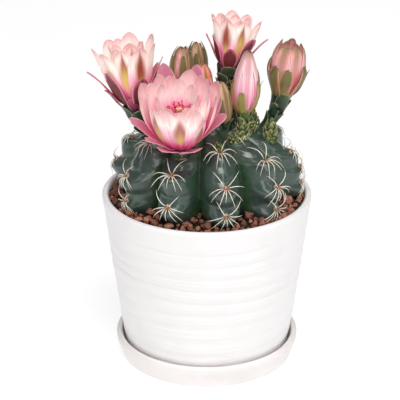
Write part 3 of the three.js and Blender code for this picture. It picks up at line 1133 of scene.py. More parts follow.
# -------- cactus body
@dataclass
class CactusBody:
    """The ribbed body and its taproot, one grown piece, with a chin under each areole."""

    ribs: int = 10
    first_rib: float = 11.5
    radius: float = 46.6
    equator: float = 100.0
    crown: float = 25.5
    crown_power: float = 2.35
    shoulder: float = 33.0
    shoulder_power: float = 2.3
    neck_height: float = 78.0
    root_radius: float = 8.0
    root_height: float = 58.0
    root_tip: float = 34.0
    groove: float = 0.25
    sharpness: float = 0.92  # of the ribs' crests
    sunk: float = 2.2  # how far the ribs lie behind their outline, which the chins reach
    sunk_over: Pair = (8.0, 28.0)  # the radii over which they come to lie so far behind
    chin: float = 3.5
    chin_drop: float = 3.0
    chin_reach: Pair = (2.4, 5.0)  # above and below the bump's middle
    notch: float = 0.9
    notch_rise: float = 3.8  # above the areole
    notch_reach: float = 1.9
    slant: float = 3.6  # how much higher a chin and its notch lie in the creases than on the crest
    dimple: float = 2.6
    dimple_spread: float = 9.0
    chins_over: Pair = (17.0, 26.0)  # the radii over which the chins come out
    lumps_over: Pair = (0.0, 20.0)  # the radii over which the skin's unevenness comes in
    columns_per_rib: int = 36
    rows: int = 130
    areoles: tuple[tuple[float, ...], ...] = (  # the heights of each rib's areoles
        (121, 108.4, 94),
        (116.2, 103.5, 91.7),
        (112, 104.2, 95.5),
        (116, 102),
        (108, 94),
        (113, 99),
        (108, 94),
        (116.5, 103.8),
        (120, 105.9, 92.5),
        (113.1, 97.6),
    )

    def __post_init__(self) -> None:
        """Works out the crests' outline, its outward slope and the distance along it."""
        turn = np.linspace(0, math.pi / 2, 64)
        upper_radius = self.radius * np.cos(turn) ** (2 / self.crown_power)
        upper_height = self.equator + self.crown * np.sin(turn) ** (2 / self.crown_power)
        drop = (self.equator - self.neck_height) / self.shoulder
        deepest = math.asin(drop ** (self.shoulder_power / 2))
        back = np.linspace(deepest, 0, 34)[:-1]
        lower_radius = self.radius * np.cos(back) ** (2 / self.shoulder_power)
        lower_height = self.equator - self.shoulder * np.sin(back) ** (2 / self.shoulder_power)
        root = [
            (0.6, self.root_tip),
            (self.root_radius * 0.5, self.root_tip + 6),
            (self.root_radius, self.root_height),
            (lower_radius[0] * 0.7, self.neck_height - 4),
        ]
        self._root_rows = len(root)
        self._radius = np.concatenate([[r for r, _ in root], lower_radius, upper_radius[:-1], [0.4]])
        self._height = np.concatenate([[z for _, z in root], lower_height, upper_height])
        slope = unit(np.stack([np.gradient(self._radius), np.gradient(self._height)], axis=1))
        self._out = np.stack([slope[:, 1], -slope[:, 0]], axis=1)
        steps = np.hypot(np.diff(self._radius), np.diff(self._height))
        self._arc = np.concatenate([[0], np.cumsum(steps)])

    def arc_at(self, height: float) -> float:
        """The distance along the crests' outline at which they reach a height."""
        return float(np.interp(height, self._height, self._arc))

    def arc_on_crown(self, radius: float) -> float:
        """The distance along the crests' outline at which they reach a radius above the equator."""
        widest = int(np.argmax(self._radius))
        return float(np.interp(-radius, -self._radius[widest:], self._arc[widest:]))

    def _outline(self, arc: Array) -> tuple[Array, Array]:
        """The crests' radius and height at distances along their outline."""
        return np.interp(arc, self._arc, self._radius), np.interp(arc, self._arc, self._height)

    def rib_azimuth(self, rib: int) -> float:
        """The azimuth of a rib's crest, in radians."""
        return math.radians(self.first_rib + 360 / self.ribs * rib)

    def crest(self, azimuth: Array) -> Array:
        """How much of the ribs' full height an azimuth has: 1 on a crest, 0 at the bottom of a groove."""
        turns = (azimuth - self.rib_azimuth(0)) / FULL_TURN * self.ribs
        return np.abs(np.cos(turns * math.pi)) ** self.sharpness

    def surface(self, azimuth: Array, arc: Array, grow: float = 0.0) -> Array:
        """Points of the skin.

        Args:
            azimuth: in radians.
            arc: the distance along the crests' outline, which broadcasts with azimuth.
            grow: how far outside the skin the points lie.

        Returns:
            The points, with a last axis of X, Y and Z.
        """
        azimuth, arc = np.broadcast_arrays(azimuth, arc)
        radius, height = self._outline(arc)
        out = unit(np.stack([np.interp(arc, self._arc, self._out[:, axis]) for axis in (0, 1)], axis=-1))
        crest = self.crest(azimuth)
        turns = (azimuth - self.rib_azimuth(0)) / FULL_TURN * self.ribs
        nearest = np.round(turns).astype(int) % self.ribs
        slanted = arc - self.slant * np.abs(2 * (turns - np.round(turns))) ** 1.6
        raised = grow - self.sunk * rising(radius, *self.sunk_over)
        shown = rising(radius, *self.chins_over) * crest**2.2
        for rib, heights in enumerate(self.areoles):
            for areole in heights:
                offset = slanted - self.arc_at(areole) + self.chin_drop
                above, below = self.chin_reach
                bump = np.exp(-((offset / np.where(offset > 0, above, below)) ** 2))
                hollow = np.exp(-(((offset - self.chin_drop - self.notch_rise) / self.notch_reach) ** 2))
                raised += np.where(nearest == rib, shown * (self.chin * bump - self.notch * hollow), 0)
        place = around(radius, azimuth, height)
        lumps = 0.5 * Grain(19, SEED + 2).at(place) + 0.22 * Grain(8, SEED + 7).at(place)
        raised += lumps * rising(radius, *self.lumps_over)
        radius = radius * (1 - self.groove * (1 - crest)) + raised * out[..., 0]
        height = height + raised * out[..., 1]
        high = height > self.equator
        height = height - np.where(high, self.dimple * np.exp(-((radius / self.dimple_spread) ** 2)), 0)
        return around(np.maximum(radius, 0.05), azimuth, height)

    def clear(self, points: Array, gap: float) -> Array:
        """Points moved straight out of the skin where they lie less than a gap above it.

        Args:
            points: any points, (points, 3).
            gap: the least distance that they are left at.

        Returns:
            The points, moved where they had to be.
        """
        azimuth = np.arctan2(points[:, 0], -points[:, 1])
        arcs = np.linspace(self.arc_at(self.neck_height), self._arc[-1], 150)
        skin = self.surface(azimuth[:, None], arcs[None])
        flat = np.stack([np.hypot(skin[..., 0], skin[..., 1]), skin[..., 2]], axis=-1)
        own = np.stack([np.hypot(points[:, 0], points[:, 1]), points[:, 2]], axis=-1)
        nearest = np.argmin(np.linalg.norm(flat - own[:, None], axis=-1), axis=1)
        slope = unit(np.gradient(flat, axis=1))
        rows = np.arange(len(points))
        along = slope[rows, nearest]
        out = np.stack([along[:, 1], -along[:, 0]], axis=1)
        height = np.einsum("ij,ij->i", own - flat[rows, nearest], out)
        push = np.maximum(gap - height, 0)[:, None] * out
        return points + around(push[:, 0], azimuth, push[:, 1])

    def areole_seat(self, azimuth: float, arc: float) -> Seat:
        """A seat on the skin.

        Args:
            azimuth: the rib's azimuth, in radians.
            arc: the areole's distance along the crests' outline.

        Returns:
            The seat: X across the rib, Y up along it, Z straight out.
        """
        step = 0.6
        here = self.surface(np.array(azimuth), np.array(arc))
        radius, height = self._outline(np.array([arc - step, arc + step]))
        below, above = around(radius, azimuth, height)
        up_rib = unit(above - below)
        across = np.array([math.cos(azimuth), math.sin(azimuth), 0.0])
        return Seat(here, np.stack([across, up_rib, np.cross(across, up_rib)]))

    def build(self) -> None:
        """Makes the body in the place of its node."""
        columns = self.ribs * self.columns_per_rib
        azimuth = np.arange(columns) / columns * FULL_TURN
        upper_rows = np.linspace(self.arc_at(self.neck_height), self._arc[-1], self.rows)
        arc = np.concatenate([self._arc[:self._root_rows], upper_rows])
        rings = self.surface(azimuth[None], arc[:, None])
        shell = Shell("ribbed_body")
        shell.loft(rings, {Field.CREST: self.crest(azimuth)[None]})
        shell.make(CACTUS_SKIN, "cactus_skin", "cactus_body")


# -------- soil and gravel
@dataclass
class Bed:
    """The soil that holds the root, and the lava stones on top of it."""

    pot: Pot
    body: CactusBody
    soil_top: float = 86.0
    soil_columns: int = 24  # for each rib
    stone_sizes: Pair = (1.1, 3.2)
    stones: int = 440
    heap: float = 2.6  # how much higher the stones lie against the body than at the wall
    tries: int = 6000
    crowding: float = 0.82  # how close two stones may come, as a share of their sizes
    bare_shade_side: Pair = (62.0, 128.0)  # azimuths where few stones cover the soil, which leaves its dark earth bare there, partly as painted shade
    bare_shade_share: float = 0.8  # of the stones that would lie there
    facets: int = 6

    def build_soil(self) -> None:
        """Makes the soil, with a pocket that fits the root."""
        pot, sides = self.pot, self.body.ribs * self.soil_columns
        azimuth = np.arange(sides) / sides * FULL_TURN
        pocket = np.linspace(0, self.body.arc_at(self.soil_top), 26)
        inner = self.body.surface(azimuth[None], pocket[:, None], GAP)
        edge = turned(np.array([(pot.inside(self.soil_top) - GAP, self.soil_top)]), sides)
        share = np.linspace(0, 1, 9)[1:, None, None]
        top = inner[-1][None] * (1 - share) + edge * share
        lumps = Grain(5, SEED + 3).at(top) + 0.6 * Grain(2.2, SEED + 4).at(top)
        top[..., 2] = self.soil_top + lumps * np.sin(share[..., 0] * math.pi * 0.9) * 0.9
        wall = turned(np.array([
            (pot.inside(pot.floor + pot.fillet) - GAP, pot.floor + pot.fillet + GAP),
            (pot.inside(pot.floor) - pot.fillet - GAP, pot.floor + GAP),
            (1.0, pot.floor + GAP),
        ]), sides)
        shell = Shell("soil_bed")
        shell.loft(np.concatenate([inner, top, wall]), {})
        shell.make(POTTING_SOIL, "soil", "potting_soil")

    def _stone(self, ball: Array, size: float, draw: Draw) -> Array:
        """One stone round the origin: a ball cut by a few planes and roughened.

        Args:
            ball: the points of a ball of radius 1.
            size: how large the stone is.
            draw: the source of its shape.

        Returns:
            Its points.
        """
        points = ball * np.array([1, draw.uniform(0.75, 1), draw.uniform(0.6, 0.9)])
        for _ in range(self.facets):
            facing = unit(draw.normal(size=3))
            beyond = np.maximum(points @ facing - draw.uniform(0.45, 0.75), 0)
            points = points - beyond[:, None] * facing
        turn, _ = np.linalg.qr(draw.normal(size=(3, 3)))
        rough = 1 + 0.2 * Grain(1.1, int(draw.integers(1 << 30))).at(points)
        return points * rough[:, None] @ turn * size

    def build_gravel(self) -> None:
        """Makes the stones, one lump beside the other between the ribs and the wall."""
        ball, faces = ball_cage(2)
        draw = np.random.default_rng(SEED + 5)
        placed: list[tuple[Array, float]] = []
        shell = Shell("lava_stones")
        arc = self.body.arc_at(self.soil_top + 1)
        for _ in range(self.tries):
            if len(placed) == self.stones:
                break
            azimuth, size = draw.uniform(-math.pi, math.pi), draw.uniform(*self.stone_sizes)
            # most stones on that side are left out, so the bare dark soil there stands partly for painted
            # shade
            low, high = self.bare_shade_side
            if low < math.degrees(azimuth) < high and draw.uniform() < self.bare_shade_share:
                continue
            skin = self.body.surface(np.array(azimuth), np.array(arc))
            outer = self.pot.inside(self.soil_top) - size - GAP
            inner = math.hypot(skin[0], skin[1]) + size * 0.8
            if inner > outer:
                continue
            radius = draw.uniform(inner, outer)
            rise = (outer - radius) / (outer - self.body.radius * 0.78)
            level = self.soil_top + size * 0.5 + self.heap * rise * draw.uniform(0.4, 1)
            centre = around(radius, azimuth, level)
            if any(math.dist(centre, other) < (size + width) * self.crowding for other, width in placed):
                continue
            placed.append((centre, size))
            shell.add(self._stone(ball, size, draw) + centre, faces, {Field.SEED: draw.uniform()})
        shell.make(LAVA, "gravel", "lava_gravel")


def ball_cage(splits: int) -> tuple[Array, list[tuple[int, ...]]]:
    """An even ball of triangles, of radius 1.

    Args:
        splits: how often each face of the starting icosahedron is cut into four.

    Returns:
        Its points and the corners of its faces.
    """
    golden = (1 + math.sqrt(5)) / 2
    signed = [(a, b) for a in (-1, 1) for b in (-golden, golden)]
    corners = [np.array(c, dtype=float) for a, b in signed for c in ((0, a, b), (a, b, 0), (b, 0, a))]
    edge = 2.0
    near = [[math.isclose(math.dist(p, q), edge) for q in corners] for p in corners]
    points = [unit(corner) for corner in corners]
    faces = []
    for i in range(len(corners)):
        for j in range(i):
            for k in range(j):
                if near[i][j] and near[j][k] and near[k][i]:
                    outward = np.dot(np.cross(points[i], points[j]), points[k]) > 0
                    faces.append((i, j, k) if outward else (k, j, i))
    for _ in range(splits):
        middles: dict[tuple[int, int], int] = {}
        finer = []
        for face in faces:
            halves = []
            for one, two in zip(face, face[1:] + face[:1]):
                key = (min(one, two), max(one, two))
                if key not in middles:
                    middles[key] = len(points)
                    points.append(unit(points[one] + points[two]))
                halves.append(middles[key])
            a, b, c = halves
            finer += [(face[0], a, c), (face[1], b, a), (face[2], c, b), (a, b, c)]
        faces = finer
    return np.array(points), faces


# -------- areoles and spines
SPINE_STEPS, SPINE_SIDES = 11, 6
SPINE_RADIUS, SPINE_POINT = 0.21, 0.05


@dataclass(frozen=True)
class Spine:
    """One spine of an areole: sweep is its angle from straight up the rib, towards +X of the seat."""

    sweep: float
    length: float
    lift: float = 38.0  # how steeply it leaves the skin
    droop: float = 1.0  # how far its end hangs down

    def path(self, seat: Seat, draw: Draw, scale: float) -> Array:
        """The spine's centre line, a little different each time.

        Args:
            seat: the areole's frame.
            draw: where its differences come from.
            scale: how long it is, as a share of its full length.

        Returns:
            Points from its foot to its point.
        """
        sweep = math.radians(self.sweep + draw.uniform(-9, 9))
        length = self.length * scale * draw.uniform(0.88, 1.1)
        lift = math.radians(self.lift + draw.uniform(-7, 7))
        ahead = np.array([math.sin(sweep), math.cos(sweep), 0.0])
        out, down = np.array([0.0, 0.0, 1.0]), np.array([0.0, -1.0, 0.0])
        foot = ahead * 0.5 + out * 0.5
        knee = foot + length * 0.64 * (ahead * math.cos(lift) + out * math.sin(lift))
        point = foot + length * (ahead * 0.84 - out * 0.02) + down * self.droop * draw.uniform(0.7, 1.4)
        return seat.place(bezier([foot, knee, point], np.linspace(0, 1, SPINE_STEPS)))


SPIDER = (
    Spine(-32, 12.5, 42, 0.0),
    Spine(34, 12.5, 42, 0.0),
    Spine(-72, 10.8, 44, 4.2),
    Spine(74, 10.8, 44, 4.2),
    Spine(-104, 9.4, 46, 4.8),
    Spine(102, 9.4, 46, 4.8),
    Spine(-144, 8, 46, 2.6),
    Spine(142, 8, 46, 2.6),
    Spine(-178, 6.5, 48, 0.6),
)


@dataclass
class Areoles:
    """The woolly areoles down each rib, each with its spider of spines."""

    body: CactusBody
    pot: Pot
    pad: Point = (1.25, 1.6, 0.9)  # half its width, length and height
    pad_levels: int = 7
    pad_sides: int = 12
    pad_opening: float = 0.02  # which keeps its top from ending in one point
    hairs: int = 16
    crown_radius: float = 21.0
    crown_ribs: tuple[int, ...] = (1, 3, 4, 5, 6, 8, 9)  # those with a young areole that shows
    shy: float = 0.35  # how long the young areoles' spines are
    short: tuple[float, ...] = (1, 1, 0.74, 0.6, 1, 1, 1, 0.6, 0.8, 1)  # how long each rib's spines are

    def _add_wool(self, shell: Shell, seat: Seat, draw: Draw, scale: float) -> None:
        """Adds an areole's felt: an uneven pad with loose hairs.

        Args:
            shell: the rib's wool.
            seat: the areole's frame.
            draw: where its differences come from.
            scale: how large it is, as a share of its full size.
        """
        width, length, height = (size * scale for size in self.pad)
        local = dome((width, length, height), -0.35, self.pad_levels, self.pad_sides)
        turn = np.arange(self.pad_sides) / self.pad_sides * FULL_TURN
        local[-1, :, :2] += self.pad_opening * np.stack([np.cos(turn), np.sin(turn)], axis=-1)
        local *= 1 + 0.22 * Grain(0.9, int(draw.integers(1 << 30))).at(local)[..., None]
        shell.loft(seat.place(local), {Field.SEED: draw.uniform()})
        share = np.linspace(0, 1, 4)
        for _ in range(self.hairs):
            ahead = unit(draw.normal(size=3) * [1, 1, 0.5] + [0, 0, 0.5])
            foot = ahead * [width, length, height] * 0.7
            end = foot + ahead * draw.uniform(0.5, 1.3) * scale + draw.normal(size=3) * 0.3
            path = seat.place(bezier([foot, foot + ahead * 0.6, end], share))
            shell.loft(round_tube(path, 0.07 * (1 - share) + 0.02, 3), {Field.SEED: draw.uniform()})

    def _keep_inside_lip(self, path: Array) -> Array:
        """Draws in what reaches below the pot's lip, so that it lies inside the wall.

        Args:
            path: a spine's centre line.

        Returns:
            The line, moved where it had to be.
        """
        radius = np.hypot(path[:, 0], path[:, 1])
        inside = self.pot.rim_radius - self.pot.wall - 0.5
        limit = np.where(path[:, 2] < self.pot.height + 0.8, inside, np.inf)
        drawn = path.copy()
        drawn[:, :2] *= (np.minimum(radius, limit) / radius)[:, None]
        return drawn

    def build(self) -> None:
        """Makes the spines and the wool of each rib, in the place of its spine nodes."""
        order = ("upper", "middle", "lower")
        for rib, heights in enumerate(self.body.areoles):
            draw = np.random.default_rng(SEED + 100 + rib)
            spines, wool = Shell(f"rib_{rib}_spines"), Shell(f"rib_{rib}_wool")
            for height in heights:
                seat = self.body.areole_seat(self.body.rib_azimuth(rib), self.body.arc_at(height))
                self._add_wool(wool, seat, draw, 1.0)
                self._add_spider(spines, seat, draw, self.short[rib])
            nodes = [f"rib_{rib}_{order[step]}_spines" for step in range(len(heights))]
            spines.make(SPINE_HORN, "spine", *nodes)
            wool.make(AREOLE_WOOL, "spine")
        self._build_crown()

    def _add_spider(self, shell: Shell, seat: Seat, draw: Draw, scale: float) -> None:
        """Adds an areole's spines.

        Args:
            shell: the rib's spines.
            seat: the areole's frame.
            draw: where their differences come from.
            scale: how long they are, as a share of their full length.
        """
        share = np.linspace(0, 1, SPINE_STEPS)
        radii = SPINE_RADIUS * (1 - share**1.6) ** 0.8 + SPINE_POINT
        for spine in SPIDER:
            path = self.body.clear(spine.path(seat, draw, scale), SPINE_RADIUS + 0.5)
            path[1:-1] = (path[:-2] + 2 * path[1:-1] + path[2:]) / 4
            path = self._keep_inside_lip(self.body.clear(path, SPINE_RADIUS + 0.05))
            told = {Field.ALONG: share, Field.SEED: draw.uniform()}
            shell.loft(round_tube(path, radii, SPINE_SIDES), told)

    def _build_crown(self) -> None:
        """Makes the young areoles round the crown, small and nearly spineless."""
        draw = np.random.default_rng(SEED + 200)
        spines, wool = Shell("crown_spines"), Shell("crown_wool")
        for rib in self.crown_ribs:
            arc = self.body.arc_on_crown(self.crown_radius)
            seat = self.body.areole_seat(self.body.rib_azimuth(rib), arc)
            self._add_wool(wool, seat, draw, 0.8)
            self._add_spider(spines, seat, draw, self.shy)
        spines.make(SPINE_HORN, "spine")
        wool.make(AREOLE_WOOL, "spine")


# -------- petals
class TipForm(Enum):
    """How a petal closes at its tip: the power and the root of its closing curve."""

    ROUND = (2.0, 0.5)
    BLUNT = (3.2, 0.5)
    BROAD = (2.7, 0.6)
    OVATE = (1.9, 0.68)
    POINTED = (1.5, 0.9)


ROUND, BLUNT, BROAD, OVATE, POINTED = TipForm


@dataclass(frozen=True)
class Petal:
    """A petal, sepal or scale. Its foot and tip are (radius, height) in the frame of what it grows on."""

    azimuth: float
    tip: Pair
    width: float
    lean: Pair = (42.0, 0.0)  # out from the axis at its foot and at its tip
    form: TipForm = OVATE
    arc: float = 70.0  # how far it curves across, at its widest
    foot: Pair = (3.6, -0.4)
    wall: float = 0.36
    widest: float = 0.6
    narrow: float = 0.42  # width at its foot, as a share
    sway: float = 0.0  # how far its tip lies to one side
    ruffle: float = 0.42
    rows: int = 20
    columns: int = 11
    tone: float | None = None  # 0 to 1: its patch shows from 0.4, and it browns and blushes towards 1

    def at(self, azimuth: float, tip: Pair, **changes: float | tuple | TipForm) -> "Petal":
        """This petal at another azimuth, with another tip and other values."""
        return replace(self, azimuth=azimuth, tip=tip, **changes)

    def half_width(self, along: Array) -> Array:
        """Half the petal's width at shares of its length.

        Args:
            along: the shares, 0 to 1.

        Returns:
            The half widths.
        """
        opening = self.narrow + (1 - self.narrow) * np.sin(rising(along, 0, self.widest) * math.pi / 2)
        power, root = self.form.value
        closing = (1 - rising(along, self.widest, 1) ** power) ** root
        return self.width / 2 * opening * np.maximum(closing, 0.012)

    def add_to(self, shell: Shell, seat: Seat, draw: Draw) -> None:
        """Adds the petal to a piece.

        Args:
            shell: the piece.
            seat: the frame of what the petal grows on.
            draw: where its differences come from.
        """
        along = np.sin(np.linspace(0, 1, self.rows) * math.pi / 2)
        across = np.sin(np.linspace(-1, 1, self.columns) * math.pi / 2)
        foot, tip = np.array(self.foot), np.array(self.tip)
        reach = HANDLE * math.dist(foot, tip)
        leave, arrive = (np.array([math.sin(a), math.cos(a)]) for a in map(math.radians, self.lean))
        middle = bezier([foot, foot + reach * leave, tip - reach * arrive, tip], along)
        heading = unit(np.gradient(middle, axis=0))
        inward = np.stack([-heading[:, 1], heading[:, 0]], axis=1)
        half = self.half_width(along)
        bend = math.radians(self.arc) / self.width
        turn = across[None] * half[:, None] * bend
        sideways = np.sin(turn) / bend + self.sway * (along**2)[:, None]
        phase = draw.uniform(0, FULL_TURN)
        wave = np.sin(phase + along[:, None] * 7 + across[None] * 2.2) * across[None] ** 2 * along[:, None]
        keel = 0.1 * np.exp(-((across[None] / 0.16) ** 2)) * (1 - along[:, None])
        raised = (1 - np.cos(turn)) / bend + self.ruffle * wave - keel
        thick = self.wall / 2 * (1 - 0.7 * across**2)[None] * (1 - 0.4 * along)[:, None]
        inner, outer = (self._sheet(middle, inward, sideways, raised, turn, off) for off in (thick, -thick))
        told = {
            Field.ALONG: along,
            Field.ACROSS: np.concatenate([across, across[::-1]])[None],
            Field.BACK: np.repeat([0.0, 1.0], self.columns)[None],
            Field.SEED: draw.uniform() if self.tone is None else self.tone,
        }
        shell.loft(seat.place(np.concatenate([inner, outer[:, ::-1]], axis=1)), told)

    def _sheet(
        self, middle: Array, inward: Array, sideways: Array, raised: Array, turn: Array, off: Array
    ) -> Array:
        """One face of the petal, in the frame of what it grows on.

        Args:
            middle: the petal's centre line, (radius, height) rows.
            inward: which way its inner face looks at each of them.
            sideways: how far each point lies beside the centre line.
            raised: how far each point lies inward of it.
            turn: how far the surface is turned there, in radians.
            off: how far inward of the petal's middle surface the face lies.

        Returns:
            The points, (rows, columns, 3).
        """
        lift = raised + off * np.cos(turn)
        radial = middle[:, 0:1] + inward[:, 0:1] * lift
        height = middle[:, 1:2] + inward[:, 1:2] * lift
        beside = sideways - off * np.sin(turn)
        azimuth = math.radians(self.azimuth)
        outward = np.array([math.sin(azimuth), -math.cos(azimuth), 0.0])
        tangent = np.array([math.cos(azimuth), math.sin(azimuth), 0.0])
        upright = np.array([0.0, 0.0, 1.0])
        return radial[..., None] * outward + beside[..., None] * tangent + height[..., None] * upright


def whorl(count: int, start: float, pattern: Petal, draw: Draw, dip: float = 0.0) -> list[Petal]:
    """Copies of a petal set evenly round an axis, each a little different.

    Args:
        count: how many.
        start: the azimuth of the first.
        pattern: the petal that they are copied from.
        draw: the source of their differences.
        dip: how much lower the tips are at the front than at the sides, and higher at the back.

    Returns:
        The petals.
    """
    petals = []
    for index in range(count):
        azimuth = start + 360 / count * index + draw.uniform(-4, 4)
        height = pattern.tip[1] - dip * math.cos(math.radians(azimuth)) + draw.uniform(-0.8, 0.8)
        tip = (pattern.tip[0] + draw.uniform(-0.6, 0.6), height)
        petals.append(loosened(pattern.at(azimuth, tip), draw))
    return petals


def loosened(petal: Petal, draw: Draw) -> Petal:
    """A petal with a small chance difference in its width, its lean and how it sways.

    Args:
        petal: the petal.
        draw: the source of the difference.

    Returns:
        The changed petal.
    """
    foot_lean, tip_lean = petal.lean
    return replace(
        petal,
        width=petal.width * draw.uniform(0.92, 1.08),
        lean=(foot_lean + draw.uniform(-4, 4), tip_lean + draw.uniform(-10, 8)),
        sway=draw.uniform(-1.1, 1.1),
    )


# -------- tubes
@dataclass(frozen=True)
class Tube:
    """The scaly tube that carries a flower or bud, from its areole to its end."""

    name: str
    areole: Point
    end: Point
    ahead: Array
    radius: float
    end_radius: float
    scales: int
    scale_finish: Finish
    bend: float = 0.45  # how far its end's own direction reaches back, as a share of its length
    rows: int = 26
    sides: int = 28

    def _path(self, share: Array) -> Array:
        """Points of its centre line.

        Args:
            share: shares of its run, 0 at the areole and 1 at its end.

        Returns:
            The points.
        """
        areole, end = np.array(self.areole), np.array(self.end)
        span = math.dist(areole, end)
        return bezier([areole, end - self.bend * span * self.ahead, end], share)

    def _girth(self, share: Array | float) -> Array | float:
        """Its radius at shares of its length: it widens towards its end."""
        return self.radius + (self.end_radius - self.radius) * rising(share, 0.3, 1) ** 1.8

    def build(self, node: str) -> None:
        """Makes the tube and its scales in the place of a node.

        Args:
            node: the CAD node that the tube stands for.
        """
        draw = np.random.default_rng(SEED + sum(map(ord, self.name)))
        share = np.linspace(0, 1, self.rows)
        path = self._path(share)
        heading = unit(np.gradient(path, axis=0))
        radii = self._girth(share) * (1 + 0.05 * np.sin(share * 19))
        rounded = path[-1:] + heading[-1:] * np.array([[0.5], [0.8]])
        path = np.concatenate([path, rounded])
        radii = np.concatenate([radii, [self.end_radius * 0.8, self.end_radius * 0.4]])
        rings = round_tube(path, radii, self.sides)
        rings += 0.12 * Grain(3, SEED + 6).at(rings)[..., None] * unit(rings - path[:, None])
        shell = Shell(f"{self.name}_tube")
        shell.loft(rings, {Field.ALONG: np.concatenate([share, [1, 1]]), Field.SEED: 0.3})
        shell.make(TUBE_FLESH, "flower_tube", node)
        self._build_scales(draw)

    def _build_scales(self, draw: Draw) -> None:
        """Makes the broad scales that overlap up the tube.

        Args:
            draw: where their differences come from.
        """
        shell = Shell(f"{self.name}_scales")
        length = math.dist(self.areole, self.end) / max(self.scales, 1) * 2.6 + 1.6
        for index in range(self.scales):
            share = 0.1 + 0.86 * (index + 0.5) / self.scales
            here, near = self._path(np.array([share, share + 0.02]))
            radius = float(self._girth(share))
            size = length * draw.uniform(0.9, 1.15) * (0.9 + 0.3 * share)
            azimuth = index * GOLDEN_TURN + draw.uniform(-12, 12)
            tip = (radius + 1.1 + share * 0.7, size * 0.55)
            scale = Petal(azimuth, tip, radius * 1.6, (4, 14 + 10 * share), ROUND, math.degrees(1.45),
                          (radius - 0.35, -size * 0.45), wall=0.5, widest=0.45, narrow=0.75,
                          ruffle=0.12, rows=11, columns=9)
            scale.add_to(shell, Seat.facing(here, near - here), draw)
        shell.make(self.scale_finish, "flower_tube")


# -------- open flowers, whose petals' first values are azimuth, tip, width, lean, form, arc and foot
@dataclass
class Flower:
    """An open flower: its tube, sepals, cup of petals, stamens and pistil."""

    name: str
    areole: Point
    receptacle: Point
    mouth: Point
    tube_radius: float
    neck_radius: float
    cup: list[Petal]
    sepals: list[Petal]
    cup_finish: Finish
    sepal_finish: Finish
    scales: int = 12
    filaments: int = 90
    brush: Pair = (6.4, 19.5)  # radius and height of the ring of anthers

    def build(self) -> None:
        """Makes the flower in the place of its nodes."""
        axis = np.subtract(self.mouth, self.receptacle)
        seat = Seat.facing(self.receptacle, axis)
        draw = np.random.default_rng(SEED + len(self.name) * 7)
        node = f"{self.name}_flower"
        tube = Tube(node, self.areole, self.receptacle, unit(axis), self.tube_radius, self.neck_radius,
                    self.scales, DARK_SCALE)
        tube.build(f"{node}_tube")
        self._build_petals(f"{self.name}_sepals", self.sepals, seat, draw).make(
            self.sepal_finish, "outer_petal", f"{node}_outer_petals")
        self._build_petals(f"{self.name}_petals", self.cup, seat, draw).make(
            self.cup_finish, "inner_petal", f"{node}_inner_petals")
        self._build_stamens(seat, draw)
        self._build_pistil(seat, draw)

    def _build_petals(self, name: str, petals: Sequence[Petal], seat: Seat, draw: Draw) -> Shell:
        """Gathers petals into one piece.

        Args:
            name: the piece's name.
            petals: what it gathers.
            seat: the flower's frame.
            draw: where their differences come from.

        Returns:
            The piece, not made yet.
        """
        shell = Shell(name)
        for petal in petals:
            petal.add_to(shell, seat, draw)
        return shell

    def _build_stamens(self, seat: Seat, draw: Draw) -> None:
        """Makes the filaments and the anthers at their ends.

        Args:
            seat: the flower's frame.
            draw: where their differences come from.
        """
        filaments, anthers = Shell(f"{self.name}_filaments"), Shell(f"{self.name}_anthers")
        radius, height = self.brush
        share, sides = np.linspace(0, 1, 8), 5
        ball = dome((0.55, 0.42, 0.7), -0.5, 6, 7)
        for _ in range(self.filaments):
            azimuth = draw.uniform(0, FULL_TURN)
            outward = math.sqrt(draw.uniform(0.05, 1))
            aside = azimuth + draw.uniform(-0.3, 0.3)
            top = around(radius * outward, aside, height * draw.uniform(0.86, 1.08))
            foot = around(self.neck_radius * 0.62, azimuth, draw.uniform(0.4, 3))
            belly = around(radius * (0.5 + 0.55 * outward), azimuth, height * 0.55)
            path = bezier([foot, belly, top], share)
            told = {Field.ALONG: share, Field.SEED: draw.uniform()}
            filaments.loft(round_tube(seat.place(path), 0.2 - 0.07 * share, sides), told)
            poise = Seat.facing(top, draw.normal(size=3) + [0, 0, 1.2])
            told = {Field.ALONG: draw.uniform(), Field.SEED: draw.uniform()}
            anthers.loft(seat.place(poise.place(ball)), told)
        filaments.make(FILAMENT, "stamen", f"{self.name}_flower_stamens")
        anthers.make(ANTHER, "stamen")

    def _build_pistil(self, seat: Seat, draw: Draw) -> None:
        """Makes the style and the lobes of its stigma.

        Args:
            seat: the flower's frame.
            draw: where its differences come from.
        """
        shell = Shell(f"{self.name}_style_and_stigma")
        _, height = self.brush
        share, sides = np.linspace(0, 1, 9), 12
        style = bezier([(0, 0, 0.3), (0.3, 0.2, height * 0.5), (0, 0, height + 0.6)], share)
        told = {Field.ALONG: share, Field.SEED: 0.1}
        shell.loft(round_tube(seat.place(style), 0.75 + 0.25 * share, sides), told)
        lobes, lobe_sides = 8, 7
        for lobe in range(lobes):
            azimuth = lobe / lobes * FULL_TURN + draw.uniform(-0.15, 0.15)
            path = bezier([(0, 0, height - 0.2), around(0.7, azimuth, height + 1.4),
                           around(draw.uniform(1.3, 1.9), azimuth, height + draw.uniform(0.8, 1.6))], share)
            radii = 0.42 * (1 - share**3) ** 0.6 + 0.06
            told = {Field.ALONG: share, Field.SEED: draw.uniform(0, 0.5)}
            shell.loft(round_tube(seat.place(path), radii, lobe_sides), told)
        shell.make(STIGMA, "pistil", f"{self.name}_flower_pistil")


